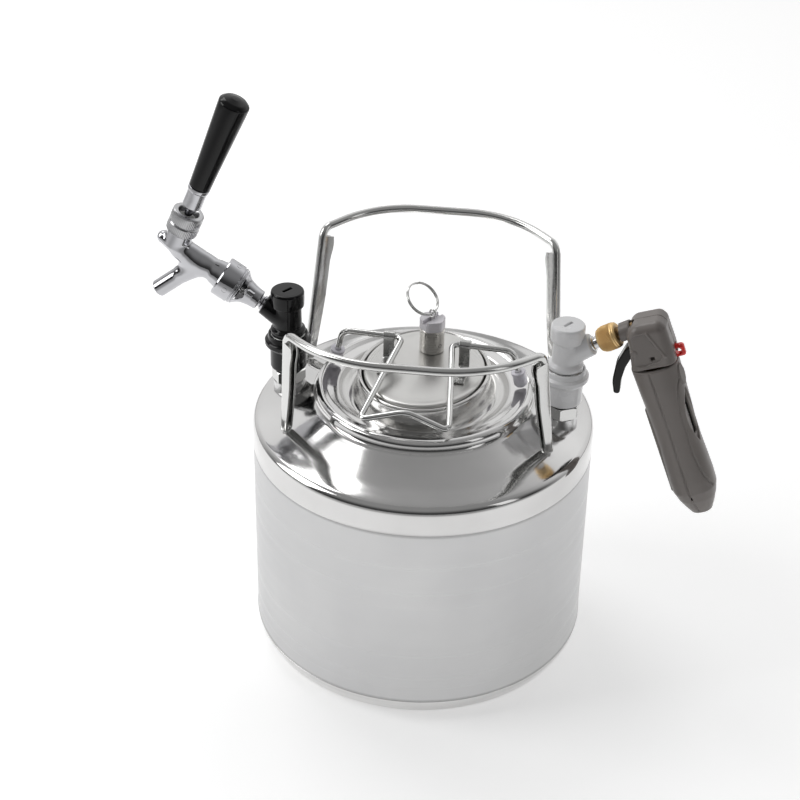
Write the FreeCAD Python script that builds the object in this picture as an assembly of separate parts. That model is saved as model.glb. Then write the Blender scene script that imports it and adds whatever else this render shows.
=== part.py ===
import FreeCAD, Part
import math
import os

# Six-litre ball-lock soda keg with tap and cartridge gas charger.
# Millimetres, +Z up, origin at the centre of the base; liquid post at -X, gas post at +X,
# the lid's bail loop lies towards -Y.

V = FreeCAD.Vector
X_AXIS = V(1, 0, 0)
Y_AXIS = V(0, 1, 0)
Z_AXIS = V(0, 0, 1)

# ---- driving dimensions: vessel ----
KEG_R = 110.0            # outside radius of the wall
SHEET = 1.2              # vessel sheet thickness
BASE_SEAM_Z = 16.0       # weld of the bottom dome
TOP_SEAM_Z = 148.0       # weld of the top dome
PLATEAU_Z = 186.8        # flat between the collar bead and the moat
MOAT_R = 53.0            # moat round the mouth ring
MOAT_Z = 182.2
MOUTH_X, MOUTH_Y = 39.3, 47.3      # half lengths of the oval mouth
MOUTH_WALL = 3.0
MOUTH_TOP_Z = 199.4
SEAT_Z = 178.0           # underside of the lid seat

# ---- driving dimensions: lid and bail ----
LID_TOP_Z = 200.2
LID_GAP = 0.9            # gap between lid plate and mouth
GASKET_Z = 174.6
PIVOT_Y, PIVOT_Z = 7.5, 215.5
WIRE_R = 2.0
BRACKET_X = 24.5
BRACKET_HALF = 3.5       # half width of the bracket strap
FOOT_X, FOOT_Y = 61.0, 10.0
PRV_Y = 23.0             # relief valve offset to the rear
PRV_R = 8.0
PRV_TOP_Z = 216.7
RING_AZIMUTH = 62.0      # direction of the pull ring's hinge line
RING_MEAN_R = 11.3
RING_LEAN = 49.0         # the ring rests leaning off the eye
EYE_Z = 226.8
EYE_R, EYE_WIRE = 2.35, 0.6

# ---- driving dimensions: handles ----
HANDLE_TURN = 5.0        # both handles sit turned from the post line
LEG_DEPTH, LEG_WIDTH, LEG_SHEET = 9.0, 5.4, 1.3
BAR_R = 2.7

# ---- driving dimensions: posts, disconnects and arms ----
POST_X = 89.5
POST_R = 8.0
BUNG_R = 9.9             # weld bung under each post
POST_TOP_Z = 206.5
ARM_Z = 223.0
ARM_TILT = 31.5          # arms rise outward
ARM_LENGTH = 18.2
BALL_Z = 196.0
BALL_HOLE_R = 1.42

# ---- driving dimensions: faucet (stations along the liquid arm) ----
CONE_START, CONE_END = 21.5, 37.4
NUT_END = 51.0
BARREL_R = 7.5
CHAMBER_R = 3.5          # bore the shaft slides in
SHAFT_SLOT = 3.3         # half length of the shaft's slot for the lever
LEVER_STATION = 85.2
LEVER_LEAN = 22.5        # closed handle leans back over the keg
PIVOT_ABOVE = 17.0       # lever ball above the barrel axis
SPOUT_TIP = V(-175.0, 0, 234.0)
SPOUT_R, SPOUT_BORE = 5.75, 4.0

# ---- driving dimensions: charger ----
SLEEVE_TOP = V(145.3, 0, 222.7)
SLEEVE_TILT = 20.9       # sleeve leans out from vertical
SLEEVE_LENGTH = 109.0
HEAD_HALF = 12.5         # half thickness of the head shells
THREAD_R = 10.4          # thread the sleeve screws onto
TRIGGER_PIVOT = V(131.5, 0, 235.5)


# ---- helpers ----
def save(name, shape):
    shape.exportStep("parts/%s.step" % name)
    print("%-26s solids %2d  volume %10.1f  valid %s"
          % (name, len(shape.Solids), shape.Volume, shape.isValid()))


def outline_xz(points):
    """Closed face in the XZ plane; a pair ((mid), (end)) is an arc, a plain pair a line."""
    edges = []
    last = points[0]
    for item in points[1:] + [points[0]]:
        if isinstance(item[0], tuple):
            mid, end = item
            arc = Part.Arc(V(last[0], 0, last[1]), V(mid[0], 0, mid[1]), V(end[0], 0, end[1]))
            edges.append(arc.toShape())
        else:
            end = item
            edges.append(Part.makeLine(V(last[0], 0, last[1]), V(end[0], 0, end[1])))
        last = end
    return Part.Face(Part.Wire(edges))


def turned(points):
    return outline_xz(points).revolve(V(0, 0, 0), Z_AXIS, 360)


def tube(r_in, r_out, z0, z1):
    outer = Part.makeCylinder(r_out, z1 - z0, V(0, 0, z0))
    if r_in <= 0:
        return outer
    return outer.cut(Part.makeCylinder(r_in, z1 - z0, V(0, 0, z0)))


def moved(shape, x=0.0, y=0.0, z=0.0):
    copy = shape.copy()
    copy.translate(V(x, y, z))
    return copy


def along(shape, origin, direction):
    """Lay a shape built about +Z along a direction, its own origin at the given point."""
    copy = shape.copy()
    copy.Placement = FreeCAD.Placement(origin, FreeCAD.Rotation(Z_AXIS, direction))
    return copy


def rod(p0, p1, radius):
    return Part.makeCylinder(radius, (p1 - p0).Length, p0, p1 - p0)


def unit(v):
    return V(v).normalize()


def box(x0, x1, y0, y1, z0, z1):
    return Part.makeBox(x1 - x0, y1 - y0, z1 - z0, V(x0, y0, z0))


def oval(half_x, half_y, z0, z1):
    ellipse = Part.Ellipse(V(0, 0, 0), half_y, half_x).toShape()
    ellipse.rotate(V(0, 0, 0), Z_AXIS, 90)
    prism = Part.Face(Part.Wire([ellipse])).extrude(V(0, 0, z1 - z0))
    prism.translate(V(0, 0, z0))
    return prism


def hexagon(across_flats, z0, z1, turn=0.0):
    radius = across_flats / math.sqrt(3.0)
    corners = [V(radius * math.cos(math.radians(60 * i + turn)),
                 radius * math.sin(math.radians(60 * i + turn)), z0) for i in range(7)]
    return Part.Face(Part.makePolygon(corners)).extrude(V(0, 0, z1 - z0))


def swept_rod(points, bends, radius):
    """Round rod along straight runs joined by tangent arcs."""
    edges = []
    start = points[0]
    for i in range(1, len(points) - 1):
        before = unit(points[i - 1] - points[i])
        after = unit(points[i + 1] - points[i])
        half = before.getAngle(after) / 2.0
        reach = bends[i - 1] / math.tan(half)
        first = points[i] + before * reach
        second = points[i] + after * reach
        bisector = unit(before + after)
        middle = points[i] + bisector * (bends[i - 1] / math.sin(half) - bends[i - 1])
        edges.append(Part.makeLine(start, first))
        edges.append(Part.Arc(first, middle, second).toShape())
        start = second
    edges.append(Part.makeLine(start, points[-1]))
    circle = Part.Wire([Part.makeCircle(radius, points[0], points[1] - points[0])])
    return Part.Wire(edges).makePipeShell([circle], True, False)


def coil(mean_r, wire_r, z0, z1, turns):
    """Compression spring about Z between two heights."""
    height = z1 - z0 - 2 * wire_r
    helix = Part.makeHelix(height / turns, height, mean_r)
    circle = Part.Wire([Part.makeCircle(wire_r, V(mean_r, 0, 0), Y_AXIS)])
    spring = helix.makePipeShell([circle], True, True)
    spring.translate(V(0, 0, z0 + wire_r))
    return spring


def torus(major, minor, z=0.0):
    return Part.makeTorus(major, minor, V(0, 0, z), Z_AXIS)


def fillet_at(shape, radius, test):
    """Round the edges whose every vertex passes the test."""
    edges = [e for e in shape.Edges if all(test(v.Point) for v in e.Vertexes) and e.Length > 0.5]
    return shape.makeFillet(radius, edges) if edges else shape


# ---- vessel ----
def keg_wall():
    return tube(KEG_R - SHEET, KEG_R, BASE_SEAM_Z, TOP_SEAM_Z)


def keg_bottom_dome():
    inner = KEG_R - SHEET
    return turned([(0, 9.0), (74.0, 5.0), (82.0, 0.0), (95.0, 0.0), ((105.6, 4.4), (KEG_R, 15.0)),
                   (KEG_R, BASE_SEAM_Z), (inner, BASE_SEAM_Z), (inner, 15.0), ((104.8, 5.2), (95.0, SHEET)),
                   (82.5, SHEET), (74.5, 6.2), (0, 9.0 + SHEET)])


def keg_top_dome():
    inner = KEG_R - SHEET
    dome = turned([(KEG_R, TOP_SEAM_Z), (KEG_R, 162.6), ((109.0, 165.6), (106.0, 167.4)),
                   ((90.0, 173.4), (71.8, 180.8)), ((69.9, 182.4), (69.4, 184.6)),
                   ((68.0, 187.4), (65.5, 188.3)), (62.5, 187.4), (54.2, PLATEAU_Z),
                   ((53.3, 186.4), (MOAT_R, 185.4)), ((52.2, 183.2), (50.0, MOAT_Z)), (0, MOAT_Z),
                   (0, MOAT_Z - SHEET), (51.0, MOAT_Z - SHEET), ((53.6, 182.6), (54.6, 185.0)),
                   (62.7, 186.0), (65.2, 186.9), ((67.2, 186.2), (68.1, 184.4)),
                   ((68.7, 181.8), (71.2, 179.6)), ((89.6, 172.1), (105.4, 166.2)),
                   ((107.8, 164.7), (inner, 162.3)), (inner, TOP_SEAM_Z)])
    dome = dome.cut(oval(MOUTH_X + MOUTH_WALL, MOUTH_Y + MOUTH_WALL, 170, 195))
    for side in (-1, 1):
        dome = dome.cut(Part.makeCylinder(BUNG_R, 30, V(side * POST_X, 0, 158)))
    return dome


def lid_mouth_ring():
    outer_x, outer_y = MOUTH_X + MOUTH_WALL, MOUTH_Y + MOUTH_WALL
    ring = oval(outer_x, outer_y, SEAT_Z, MOUTH_TOP_Z).fuse(oval(46.5, 54.5, SEAT_Z, 180.8))
    ring = ring.cut(oval(MOUTH_X, MOUTH_Y, SEAT_Z - 1, MOUTH_TOP_Z + 1)).removeSplitter()
    return fillet_at(ring, 1.2, lambda p: abs(p.z - MOUTH_TOP_Z) < 0.01)


# ---- handles ----
def handle_points(side, foot_y, corner_y, mid_y, mid_z):
    """Leg foot, corner and bar points of a handle on one side (-1 front, +1 rear)."""
    foot = V(82.5, side * foot_y, 173.2)
    corner = V(76.3, side * corner_y, 254.6)
    knee = V(45.0, side * mid_y, mid_z)
    return foot, corner, knee


def mirror_x(p):
    return V(-p.x, p.y, p.z)


def handle_leg(foot, corner, knee):
    """Pressed channel leg, open towards the inside of the loop, with a tapered round tip."""
    axis = unit(corner - foot)
    inward = unit(knee - corner)
    inward = unit(inward - axis * inward.dot(axis))
    lateral = axis.cross(inward)
    length = (corner - foot).Length - 5.0
    channel = box(-2.7, LEG_DEPTH - 2.7, -LEG_WIDTH / 2, LEG_WIDTH / 2, 0, length)
    half_gap = LEG_WIDTH / 2 - LEG_SHEET
    channel = channel.cut(box(-2.7 + LEG_SHEET, LEG_DEPTH, -half_gap, half_gap, -1, length - 9))
    tip = Part.makeCylinder(3.2, 40, V(0.5, -20, 3.2), Y_AXIS)
    taper = outline_xz([(-2.7, 3.2), (3.7, 3.2), (LEG_DEPTH - 2.7, 42.0), (LEG_DEPTH - 2.7, length),
                        (-2.7, length)]).extrude(V(0, 40, 0))
    taper.translate(V(0, -20, 0))
    channel = channel.common(tip.fuse(taper))
    matrix = FreeCAD.Matrix(inward.x, lateral.x, axis.x, foot.x, inward.y, lateral.y, axis.y, foot.y,
                            inward.z, lateral.z, axis.z, foot.z, 0, 0, 0, 1)
    return channel.transformGeometry(matrix)


def handle(side, foot_y, corner_y, mid_y, mid_z):
    foot, corner, knee = handle_points(side, foot_y, corner_y, mid_y, mid_z)
    low = corner + unit(foot - corner) * 14.0
    bar = swept_rod([low, corner, knee, mirror_x(knee), mirror_x(corner), mirror_x(low)],
                    [8.0, 70.0, 70.0, 8.0], BAR_R)
    leg = handle_leg(foot, corner, knee)
    other = leg.mirror(V(0, 0, 0), X_AXIS)
    loop = bar.fuse([leg, other])
    loop.rotate(V(0, 0, 0), Z_AXIS, HANDLE_TURN)
    return loop


# ---- posts and what sits inside them ----
def pair(shape):
    """The same piece on the liquid and the gas post."""
    return Part.makeCompound([moved(shape, -POST_X), moved(shape, POST_X)])


def post_bung():
    neck = turned([(4.6, 160.0), (7.4, 160.0), (7.4, 167.0), (BUNG_R, 167.0), (BUNG_R, 179.0),
                   (7.4, 179.0), (7.4, 184.0), (4.6, 184.0)])
    return pair(neck)


def post(side):
    upper = turned([(7.6, 187.5), (POST_R, 187.5), (POST_R, 193.9), (7.0, 194.6), (7.0, 197.4),
                    (POST_R, 198.1), (POST_R, 200.9), (7.1, 200.9), (7.1, 202.5), (POST_R, 202.5),
                    (POST_R, 205.5), (7.0, POST_TOP_Z), (2.6, POST_TOP_Z), (2.6, 204.5),
                    (4.4, 203.4), (4.4, 186.4), (7.6, 186.0)])
    base = hexagon(19.0, 179.3, 187.5, 30 if side > 0 else 8)
    base = base.cut(Part.makeCylinder(7.6, 20, V(0, 0, 170)))
    bevel = turned([(0, 179.3), (10.2, 179.3), (10.97, 180.1), (10.97, 186.7), (10.2, 187.5), (0, 187.5)])
    return moved(base.common(bevel).fuse(upper).removeSplitter(), side * POST_X)


def dip_tube(side, bottom):
    """Flanged tube from the post down into the vessel; the liquid one bends to the centre."""
    x = side * POST_X
    if side < 0:
        path = [V(x, 0, 186), V(x, 0, 46), V(-34, 0, bottom + 4)]
        outer = swept_rod(path, [26.0], 3.9)
        inner = swept_rod(path, [26.0], 3.2)
    else:
        outer = Part.makeCylinder(3.9, 186 - bottom, V(x, 0, bottom))
        inner = Part.makeCylinder(3.2, 188 - bottom, V(x, 0, bottom - 1))
    flange = moved(tube(3.2, 6.6, 185.0, 186.0), x)
    return outer.fuse(flange).cut(inner)


def post_parts():
    poppet = turned([(0, 196.0), (1.4, 196.0), (1.4, 199.6), (3.9, 199.6), (3.9, 201.6), (1.5, 203.2),
                     (1.5, 206.8), (0, 206.8)])
    seals = Part.makeCompound([torus(7.75, 0.6, 201.7), tube(4.7, 6.6, 184.1, 184.9)])
    save("post_bungs", post_bung())
    save("posts", Part.makeCompound([post(-1), post(1)]))
    save("dip_tubes", Part.makeCompound([dip_tube(-1, 14.0), dip_tube(1, 140.0)]))
    save("post_seals", pair(seals))
    save("post_poppets", pair(poppet))
    save("poppet_springs", pair(coil(2.9, 0.45, 190.0, 199.4, 5)))


# ---- disconnects ----
def arm_direction(side):
    tilt = math.radians(ARM_TILT)
    return V(side * math.cos(tilt), 0, math.sin(tilt))


def arm_root(side):
    return V(side * POST_X, 0, ARM_Z)


def station(side, s):
    return arm_root(side) + arm_direction(side) * s


def on_arm(side, shape):
    return along(shape, arm_root(side), arm_direction(side))


def qd_body(side):
    body = turned([(8.4, 188.2), (9.8, 188.2), (9.8, 208.6), (8.9, 210.5), (8.5, 210.5),
                   (8.5, 214.2), (11.0, 214.2), (11.2, 214.4), (11.2, 216.8), (8.5, 218.4),
                   (8.5, 240.4), (5.0, 240.4), (5.0, 238.0), (3.4, 237.0), (3.4, 207.6),
                   (8.4, 207.2)])
    body = moved(body, side * POST_X)
    arm = on_arm(side, tube(0, 7.0, 0, ARM_LENGTH)).cut(moved(tube(0, 8.4, 205, 245), side * POST_X))
    body = body.fuse(arm).cut(on_arm(side, tube(0, 3.75, 4.5, ARM_LENGTH + 1)))
    for turn in range(4):
        angle = math.radians(45 + 90 * turn)
        outward = V(math.cos(angle), math.sin(angle), 0)
        start = V(side * POST_X, 0, BALL_Z) + outward * 7.0
        body = body.cut(Part.makeCylinder(BALL_HOLE_R, 4.0, start, outward))
    return body


def qd_cap(side):
    cap = turned([(8.75, 233.4), (10.3, 233.4), (10.75, 233.9), (10.75, 243.3), ((10.4, 244.1), (9.6, 244.5)),
                  (0, 244.5), (0, 229.5), (2.9, 229.5), (2.9, 240.8), (8.75, 240.8)])
    slot = box(-3.8, 3.8, -0.9, 0.9, 242.9, 246)
    slot.rotate(V(0, 0, 0), Z_AXIS, 57)
    return moved(cap.cut(slot), side * POST_X).cut(on_arm(side, tube(0, 7.0, 0, ARM_LENGTH)))


def qd_collar(side):
    ring = turned([(10.15, 189.4), (11.4, 189.4), (11.7, 189.7), (11.7, 203.6),
                   ((12.6, 204.8), (14.4, 205.6)), (15.0, 206.3), (15.0, 208.9),
                   ((14.7, 209.5), (14.1, 209.7)), (13.5, 209.2), (13.3, 206.9), (10.15, 206.9)])
    return moved(ring, side * POST_X)


def qd_springs(side):
    """Collar return spring and plunger spring."""
    springs = [coil(10.75, 0.45, 207.0, 214.1, 3), coil(2.4, 0.35, 217.1, 229.4, 5)]
    return moved(Part.makeCompound(springs), side * POST_X)


def qd_plunger(side):
    shape = turned([(0, 206.9), (1.6, 206.9), (1.6, 213.0), (3.1, 213.6), (3.1, 217.0), (0, 217.0)])
    return moved(shape, side * POST_X)


def qd_balls(side):
    balls = []
    for turn in range(4):
        angle = math.radians(45 + 90 * turn)
        balls.append(Part.makeSphere(1.35, V(side * POST_X + 8.55 * math.cos(angle),
                                             8.55 * math.sin(angle), BALL_Z)))
    return Part.makeCompound(balls)


def flare_fitting(side):
    shape = turned([(1.8, 8.0), (3.7, 8.0), (3.7, 18.3), (5.0, 18.3), (5.0, 19.5), (3.8, 20.0), (3.8, 25.4),
                    (2.5, 27.0), (1.8, 27.0)])
    return on_arm(side, shape)


def disconnect(side, name):
    save(name + "_disconnect_body", qd_body(side))
    save(name + "_disconnect_cap", qd_cap(side))
    save(name + "_release_collar", qd_collar(side))
    save(name + "_disconnect_springs", qd_springs(side))
    save(name + "_plunger", qd_plunger(side))
    save(name + "_lock_balls", qd_balls(side))
    save(name + "_flare_fitting", flare_fitting(side))


# ---- lid ----
def lid_plate():
    rim_x, rim_y = MOUTH_X - LID_GAP, MOUTH_Y - LID_GAP
    lid = oval(rim_x, rim_y, 172.6, LID_TOP_Z).fuse(oval(46.0, 54.0, 172.6, 174.4))
    lid = fillet_at(lid, 1.4, lambda p: abs(p.z - LID_TOP_Z) < 0.01)
    lid = lid.cut(oval(rim_x - 1.5, rim_y - 1.5, 170, LID_TOP_Z - 1.6))
    return lid.cut(Part.makeCylinder(5.0, 10, V(0, PRV_Y, 195))).removeSplitter()


def lid_gasket():
    ring = oval(44.6, 52.6, GASKET_Z, 177.8).cut(oval(40.8, 48.8, 170, 180))
    return fillet_at(ring, 1.2, lambda p: True)


def bail_brackets():
    parts = []
    for side in (-1, 1):
        x0, x1 = side * BRACKET_X - BRACKET_HALF, side * BRACKET_X + BRACKET_HALF
        foot = box(x0, x1, -15.0, PIVOT_Y - 2.0, LID_TOP_Z, LID_TOP_Z + 1.3)
        riser = box(x0, x1, PIVOT_Y - 3.3, PIVOT_Y - 2.05, LID_TOP_Z, PIVOT_Z)
        eye = Part.makeCylinder(3.3, x1 - x0, V(x0, PIVOT_Y, PIVOT_Z), X_AXIS)
        bore = Part.makeCylinder(WIRE_R + 0.05, 9, V(x0 - 1, PIVOT_Y, PIVOT_Z), X_AXIS)
        parts.append(foot.fuse([riser, eye]).cut(bore).removeSplitter())
    return Part.makeCompound(parts)


def lid_bail():
    right = [V(FOOT_X, FOOT_Y, 190.5), V(55.5, PIVOT_Y, PIVOT_Z), V(16.0, PIVOT_Y, PIVOT_Z),
             V(28.0, -63.5, 196.6)]
    left = [mirror_x(p) for p in reversed(right)]
    path = right + [V(0, -57.0, 202.2)] + left
    return swept_rod(path, [7.0, 4.0, 3.0, 20.0, 3.0, 4.0, 7.0], WIRE_R)


def bail_feet():
    caps = []
    for side in (-1, 1):
        top = V(side * 55.5, PIVOT_Y, PIVOT_Z)
        low = V(side * FOOT_X, FOOT_Y, 190.5)
        up = unit(top - low)
        cap = turned([(0, -1.4), (1.9, -1.4), ((3.7, -0.7), (4.4, 1.1)), (4.4, 8.6), (4.7, 9.0), (4.7, 10.2),
                      (WIRE_R, 10.2), (WIRE_R, 0), (0, 0)])
        caps.append(along(cap, low, up))
    return Part.makeCompound(caps)


# ---- pressure relief valve ----
def prv_body():
    body = turned([(1.8, 190.0), (4.9, 190.0), (4.9, LID_TOP_Z), (PRV_R, LID_TOP_Z), (PRV_R, PRV_TOP_Z - 0.5),
                   (PRV_R - 0.5, PRV_TOP_Z), (6.2, PRV_TOP_Z), (6.2, 212.0), (4.2, 212.0), (4.2, 201.6),
                   (1.8, 201.6)])
    vent = rod(V(0, 0, 206.0), V(9.0, -7.0, 206.0), 1.3)
    return moved(body.cut(vent), 0, PRV_Y)


def prv_locknut():
    nut = hexagon(15.0, 193.5, 198.4).cut(Part.makeCylinder(4.95, 10, V(0, 0, 190)))
    return moved(nut, 0, PRV_Y)


def prv_cap():
    cap = hexagon(15.4, PRV_TOP_Z, 223.6, 20).fuse(tube(0, 6.1, 212.2, PRV_TOP_Z))
    cap = cap.common(tube(0, 8.3, 205, 226)).cut(tube(0, 1.75, 205, 226))
    slot = box(-9, 9, -1.8, 1.8, 221.4, 226)
    slot.rotate(V(0, 0, 0), Z_AXIS, RING_AZIMUTH)
    return moved(cap.cut(slot), 0, PRV_Y)


def ring_axis():
    return V(math.cos(math.radians(RING_AZIMUTH)), math.sin(math.radians(RING_AZIMUTH)), 0)


def prv_stem():
    stem = turned([(0, 202.0), (3.4, 202.0), (3.8, 202.4), (3.8, 204.0), (1.4, 204.6), (1.4, EYE_Z - EYE_R),
                   (0, EYE_Z - EYE_R)])
    eye = Part.makeTorus(EYE_R, EYE_WIRE, V(0, 0, EYE_Z), ring_axis())
    return moved(stem.fuse(eye), 0, PRV_Y)


def prv_ring():
    """Split ring leaning off the eye, its hinge line through the eye's hole."""
    axis = ring_axis()
    lean = math.radians(RING_LEAN)
    offset = (Z_AXIS.cross(axis) * math.sin(lean) + Z_AXIS * math.cos(lean)) * RING_MEAN_R
    centre = V(0, PRV_Y, EYE_Z) + offset
    normal = axis.cross(unit(offset))
    band = turned([(10.7, -1.0), (11.0, -1.3), (11.6, -1.3), (11.9, -1.0), (11.9, 1.0), (11.6, 1.3),
                   (11.0, 1.3), (10.7, 1.0)])
    return along(band, centre, normal)


# ---- faucet ----
def lever_direction():
    lean = math.radians(LEVER_LEAN)
    return V(math.sin(lean), 0, math.cos(lean))


def lever_root():
    return station(-1, LEVER_STATION)


def lever_pivot():
    return lever_root() + lever_direction() * PIVOT_ABOVE


def on_lever(shape):
    return along(shape, lever_root(), lever_direction())


def faucet_adapter():
    shape = turned([(3.95, CONE_START), (6.3, CONE_START), (6.6, CONE_START + 0.4), (6.6, 23.6),
                    ((8.1, 30.5), (11.4, 36.0)), (12.3, CONE_END - 0.6), (12.3, CONE_END), (10.9, CONE_END),
                    (10.9, 44.0), (5.6, 44.0), (5.6, 38.5), (2.5, 37.0), (2.5, 28.5), (3.95, 27.3)])
    return on_arm(-1, shape)


def coupling_washer():
    return on_arm(-1, tube(5.7, 10.6, 44.1, 44.6))


def coupling_nut():
    shape = turned([(11.0, 37.6), (12.4, 37.6), (13.0, 38.2), (13.0, NUT_END - 1.0),
                    (12.4, NUT_END), (7.9, NUT_END), (7.9, NUT_END - 1.6), (11.0, NUT_END - 1.6)])
    hole = rod(V(0, 0, 41.5), V(0, 14, 41.5), 1.5)
    spanner = [hole]
    for turn in (90, 180, 270):
        spun = hole.copy()
        spun.rotate(V(0, 0, 0), Z_AXIS, turn)
        spanner.append(spun)
    return on_arm(-1, shape.cut(Part.makeCompound(spanner)))


def faucet_body():
    """Barrel, spout, front nub and lever boss as one casting."""
    barrel = on_arm(-1, turned([(0, 44.8), (10.6, 44.8), (10.6, 49.0), (BARREL_R, 49.0), (BARREL_R, 79.0),
                                (4.6, 95.5), ((3.6, 97.2), (1.2, 98.0)), (0, 98.0)]))
    spout_root = station(-1, 66.0)
    spout = rod(spout_root, SPOUT_TIP, SPOUT_R)
    nose = station(-1, 88.0)
    middle = spout_root + (SPOUT_TIP - spout_root) * 0.62
    web = Part.Face(Part.makePolygon([station(-1, 58.0), nose, middle, station(-1, 58.0)]))
    web.translate(V(0, -3.4, 0))
    web = web.extrude(V(0, 6.8, 0))
    under = Part.Face(Part.makePolygon([station(-1, 56.0), station(-1, 70.0), middle, station(-1, 56.0)]))
    under.translate(V(0, -3.4, 0))
    under = under.extrude(V(0, 6.8, 0))
    boss = on_lever(tube(0, 8.2, 0, 14.0))
    body = barrel.fuse([spout, web, under, boss])
    chamber = on_arm(-1, tube(0, 5.0, 44, 51.0).fuse([tube(0, CHAMBER_R, 50, 92.0)]))
    slot = box(-2.4, 9.4, -2.4, 2.4, -2.2, 6.0)
    cavity = on_lever(tube(0, 6.8, 4.5, 15.0).fuse(slot))
    bore = rod(station(-1, 66.0), SPOUT_TIP + unit(SPOUT_TIP - spout_root), SPOUT_BORE)
    bore = bore.cut(on_arm(-1, tube(0, 30, 30, 60)))
    return body.cut(chamber.fuse([cavity, bore])).removeSplitter()


def faucet_shaft():
    shape = turned([(0, 50.2), (1.8, 50.2), (1.8, 80.2), (3.2, 80.8), (3.2, 89.8), (0, 89.8)])
    eye = box(-6, 6, -2.1, 2.1, LEVER_STATION - SHAFT_SLOT, LEVER_STATION + SHAFT_SLOT)
    return on_arm(-1, shape.cut(eye))


def faucet_seat_washer():
    return on_arm(-1, tube(0, 4.6, 45.6, 50.1))


def faucet_bonnet():
    shape = turned([(8.35, 11.4), (9.6, 11.4), (10.2, 12.0), (10.2, 17.6), (9.7, 18.1), (9.7, 18.7),
                    (10.2, 19.2), (10.2, 25.6), (9.4, 26.4), (6.9, 26.4), (5.4, 22.4), (6.2, 22.4),
                    (6.2, 14.4), (8.35, 14.4)])
    return on_lever(shape)


def faucet_ball_washer():
    return on_lever(turned([(3.95, 19.9), (6.0, 19.9), (6.0, 22.2), (5.2, 22.2), (4.4, 20.8), (3.95, 20.3)]))


def faucet_lever():
    stem = turned([(0, -1.7), (1.7, -1.7), (1.7, 12.0), (2.5, 13.2), (2.5, 46.0), (0, 46.0)])
    ball = Part.makeSphere(4.4, V(0, 0, PIVOT_ABOVE))
    return on_lever(stem.fuse(ball))


def handle_ferrule():
    shape = turned([(2.55, 31.0), (5.8, 31.0), (6.3, 31.6), (6.3, 43.6), (6.9, 44.2), (6.9, 46.2),
                    (2.55, 46.2)])
    return on_lever(shape)


def tap_handle():
    shape = turned([(0, 46.4), (6.4, 46.4), (6.8, 46.9), (9.5, 104.0), ((9.9, 108.8), (8.2, 111.2)),
                    ((4.8, 112.5), (1.4, 113.0)), (0, 113.0)])
    return on_lever(shape)


# ---- charger ----
def sleeve_axis():
    tilt = math.radians(SLEEVE_TILT)
    return V(math.sin(tilt), 0, -math.cos(tilt))


def sleeve_side():
    tilt = math.radians(SLEEVE_TILT)
    return V(math.cos(tilt), 0, math.sin(tilt))


def in_sleeve(w, t, y=0.0):
    return SLEEVE_TOP + sleeve_side() * w + sleeve_axis() * t + V(0, y, 0)


def on_sleeve(shape):
    """Local X is the outer side, local Z runs down the sleeve."""
    side, axis = sleeve_side(), sleeve_axis()
    depth = axis.cross(side)
    matrix = FreeCAD.Matrix(side.x, depth.x, axis.x, SLEEVE_TOP.x, side.y, depth.y, axis.y, SLEEVE_TOP.y,
                            side.z, depth.z, axis.z, SLEEVE_TOP.z, 0, 0, 0, 1)
    copy = shape.copy()
    copy.Placement = FreeCAD.Placement(matrix)
    return copy


def charger_nut():
    shape = turned([(3.9, 20.6), (6.6, 20.6), ((8.0, 21.6), (8.5, 23.4)), (8.7, 32.2), (8.2, 32.8),
                    (8.2, 33.8), (7.6, 34.5), (4.2, 34.5), (4.2, 31.2), (6.3, 31.2), (6.3, 27.2),
                    (3.9, 27.2)])
    return on_arm(1, shape)


def valve_block():
    stub = on_arm(1, tube(0, 6.0, 27.6, 30.9).fuse(tube(0, 4.1, 30.9, 52.9)))
    neck = on_sleeve(tube(0, 4.6, -34.5, -4.0))
    thread = on_sleeve(turned([(0, -5.0), (THREAD_R, -5.0), (THREAD_R, 7.0), (5.2, 7.0), (5.2, 2.0),
                               (0, 2.0)]))
    block = stub.fuse([neck, thread])
    block = block.cut(on_arm(1, tube(0, 1.6, 26, 52.0)))
    block = block.cut(on_sleeve(tube(0, 1.8, -31.8, 3.0)))
    return block.cut(on_sleeve(rod(V(-9, 0, -11), V(-0.8, 0, -11), 1.2)))


def head_outline(inset=0.0):
    i = inset
    return outline_xz([(-14.0 + i, -1.6 + i), (-10.4 + i, -22.0), (-10.2 + i, -29.0),
                       ((-7.6 + 0.7 * i, -35.0 + 0.7 * i), (-1.0, -38.4 + i)), (10.0, -38.0 + i),
                       ((14.0 - 0.7 * i, -36.2 + 0.7 * i), (15.2 - i, -31.0)), (15.4 - i, -12.0),
                       (14.4 - i, -1.6 + i)])


def head_solid():
    outer = head_outline().extrude(V(0, 2 * HEAD_HALF, 0))
    outer.translate(V(0, -HEAD_HALF, 0))
    rim = [e for e in outer.Edges if abs(abs(e.CenterOfMass.y) - HEAD_HALF) < 0.01
           and e.CenterOfMass.z < -3]
    outer = outer.makeFillet(2.6, rim)
    cavity = head_outline(2.0).extrude(V(0, 2 * HEAD_HALF - 4.0, 0))
    cavity.translate(V(0, 2.0 - HEAD_HALF, 0))
    shell = outer.cut(cavity)
    trigger_slot = box(-20, -6, -5.2, 5.2, -23.0, 0.5)
    latch_slot = box(8, 20, -3.0, 3.0, -12.8, -3.2)
    return on_sleeve(shell.cut(trigger_slot).cut(latch_slot))


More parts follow.
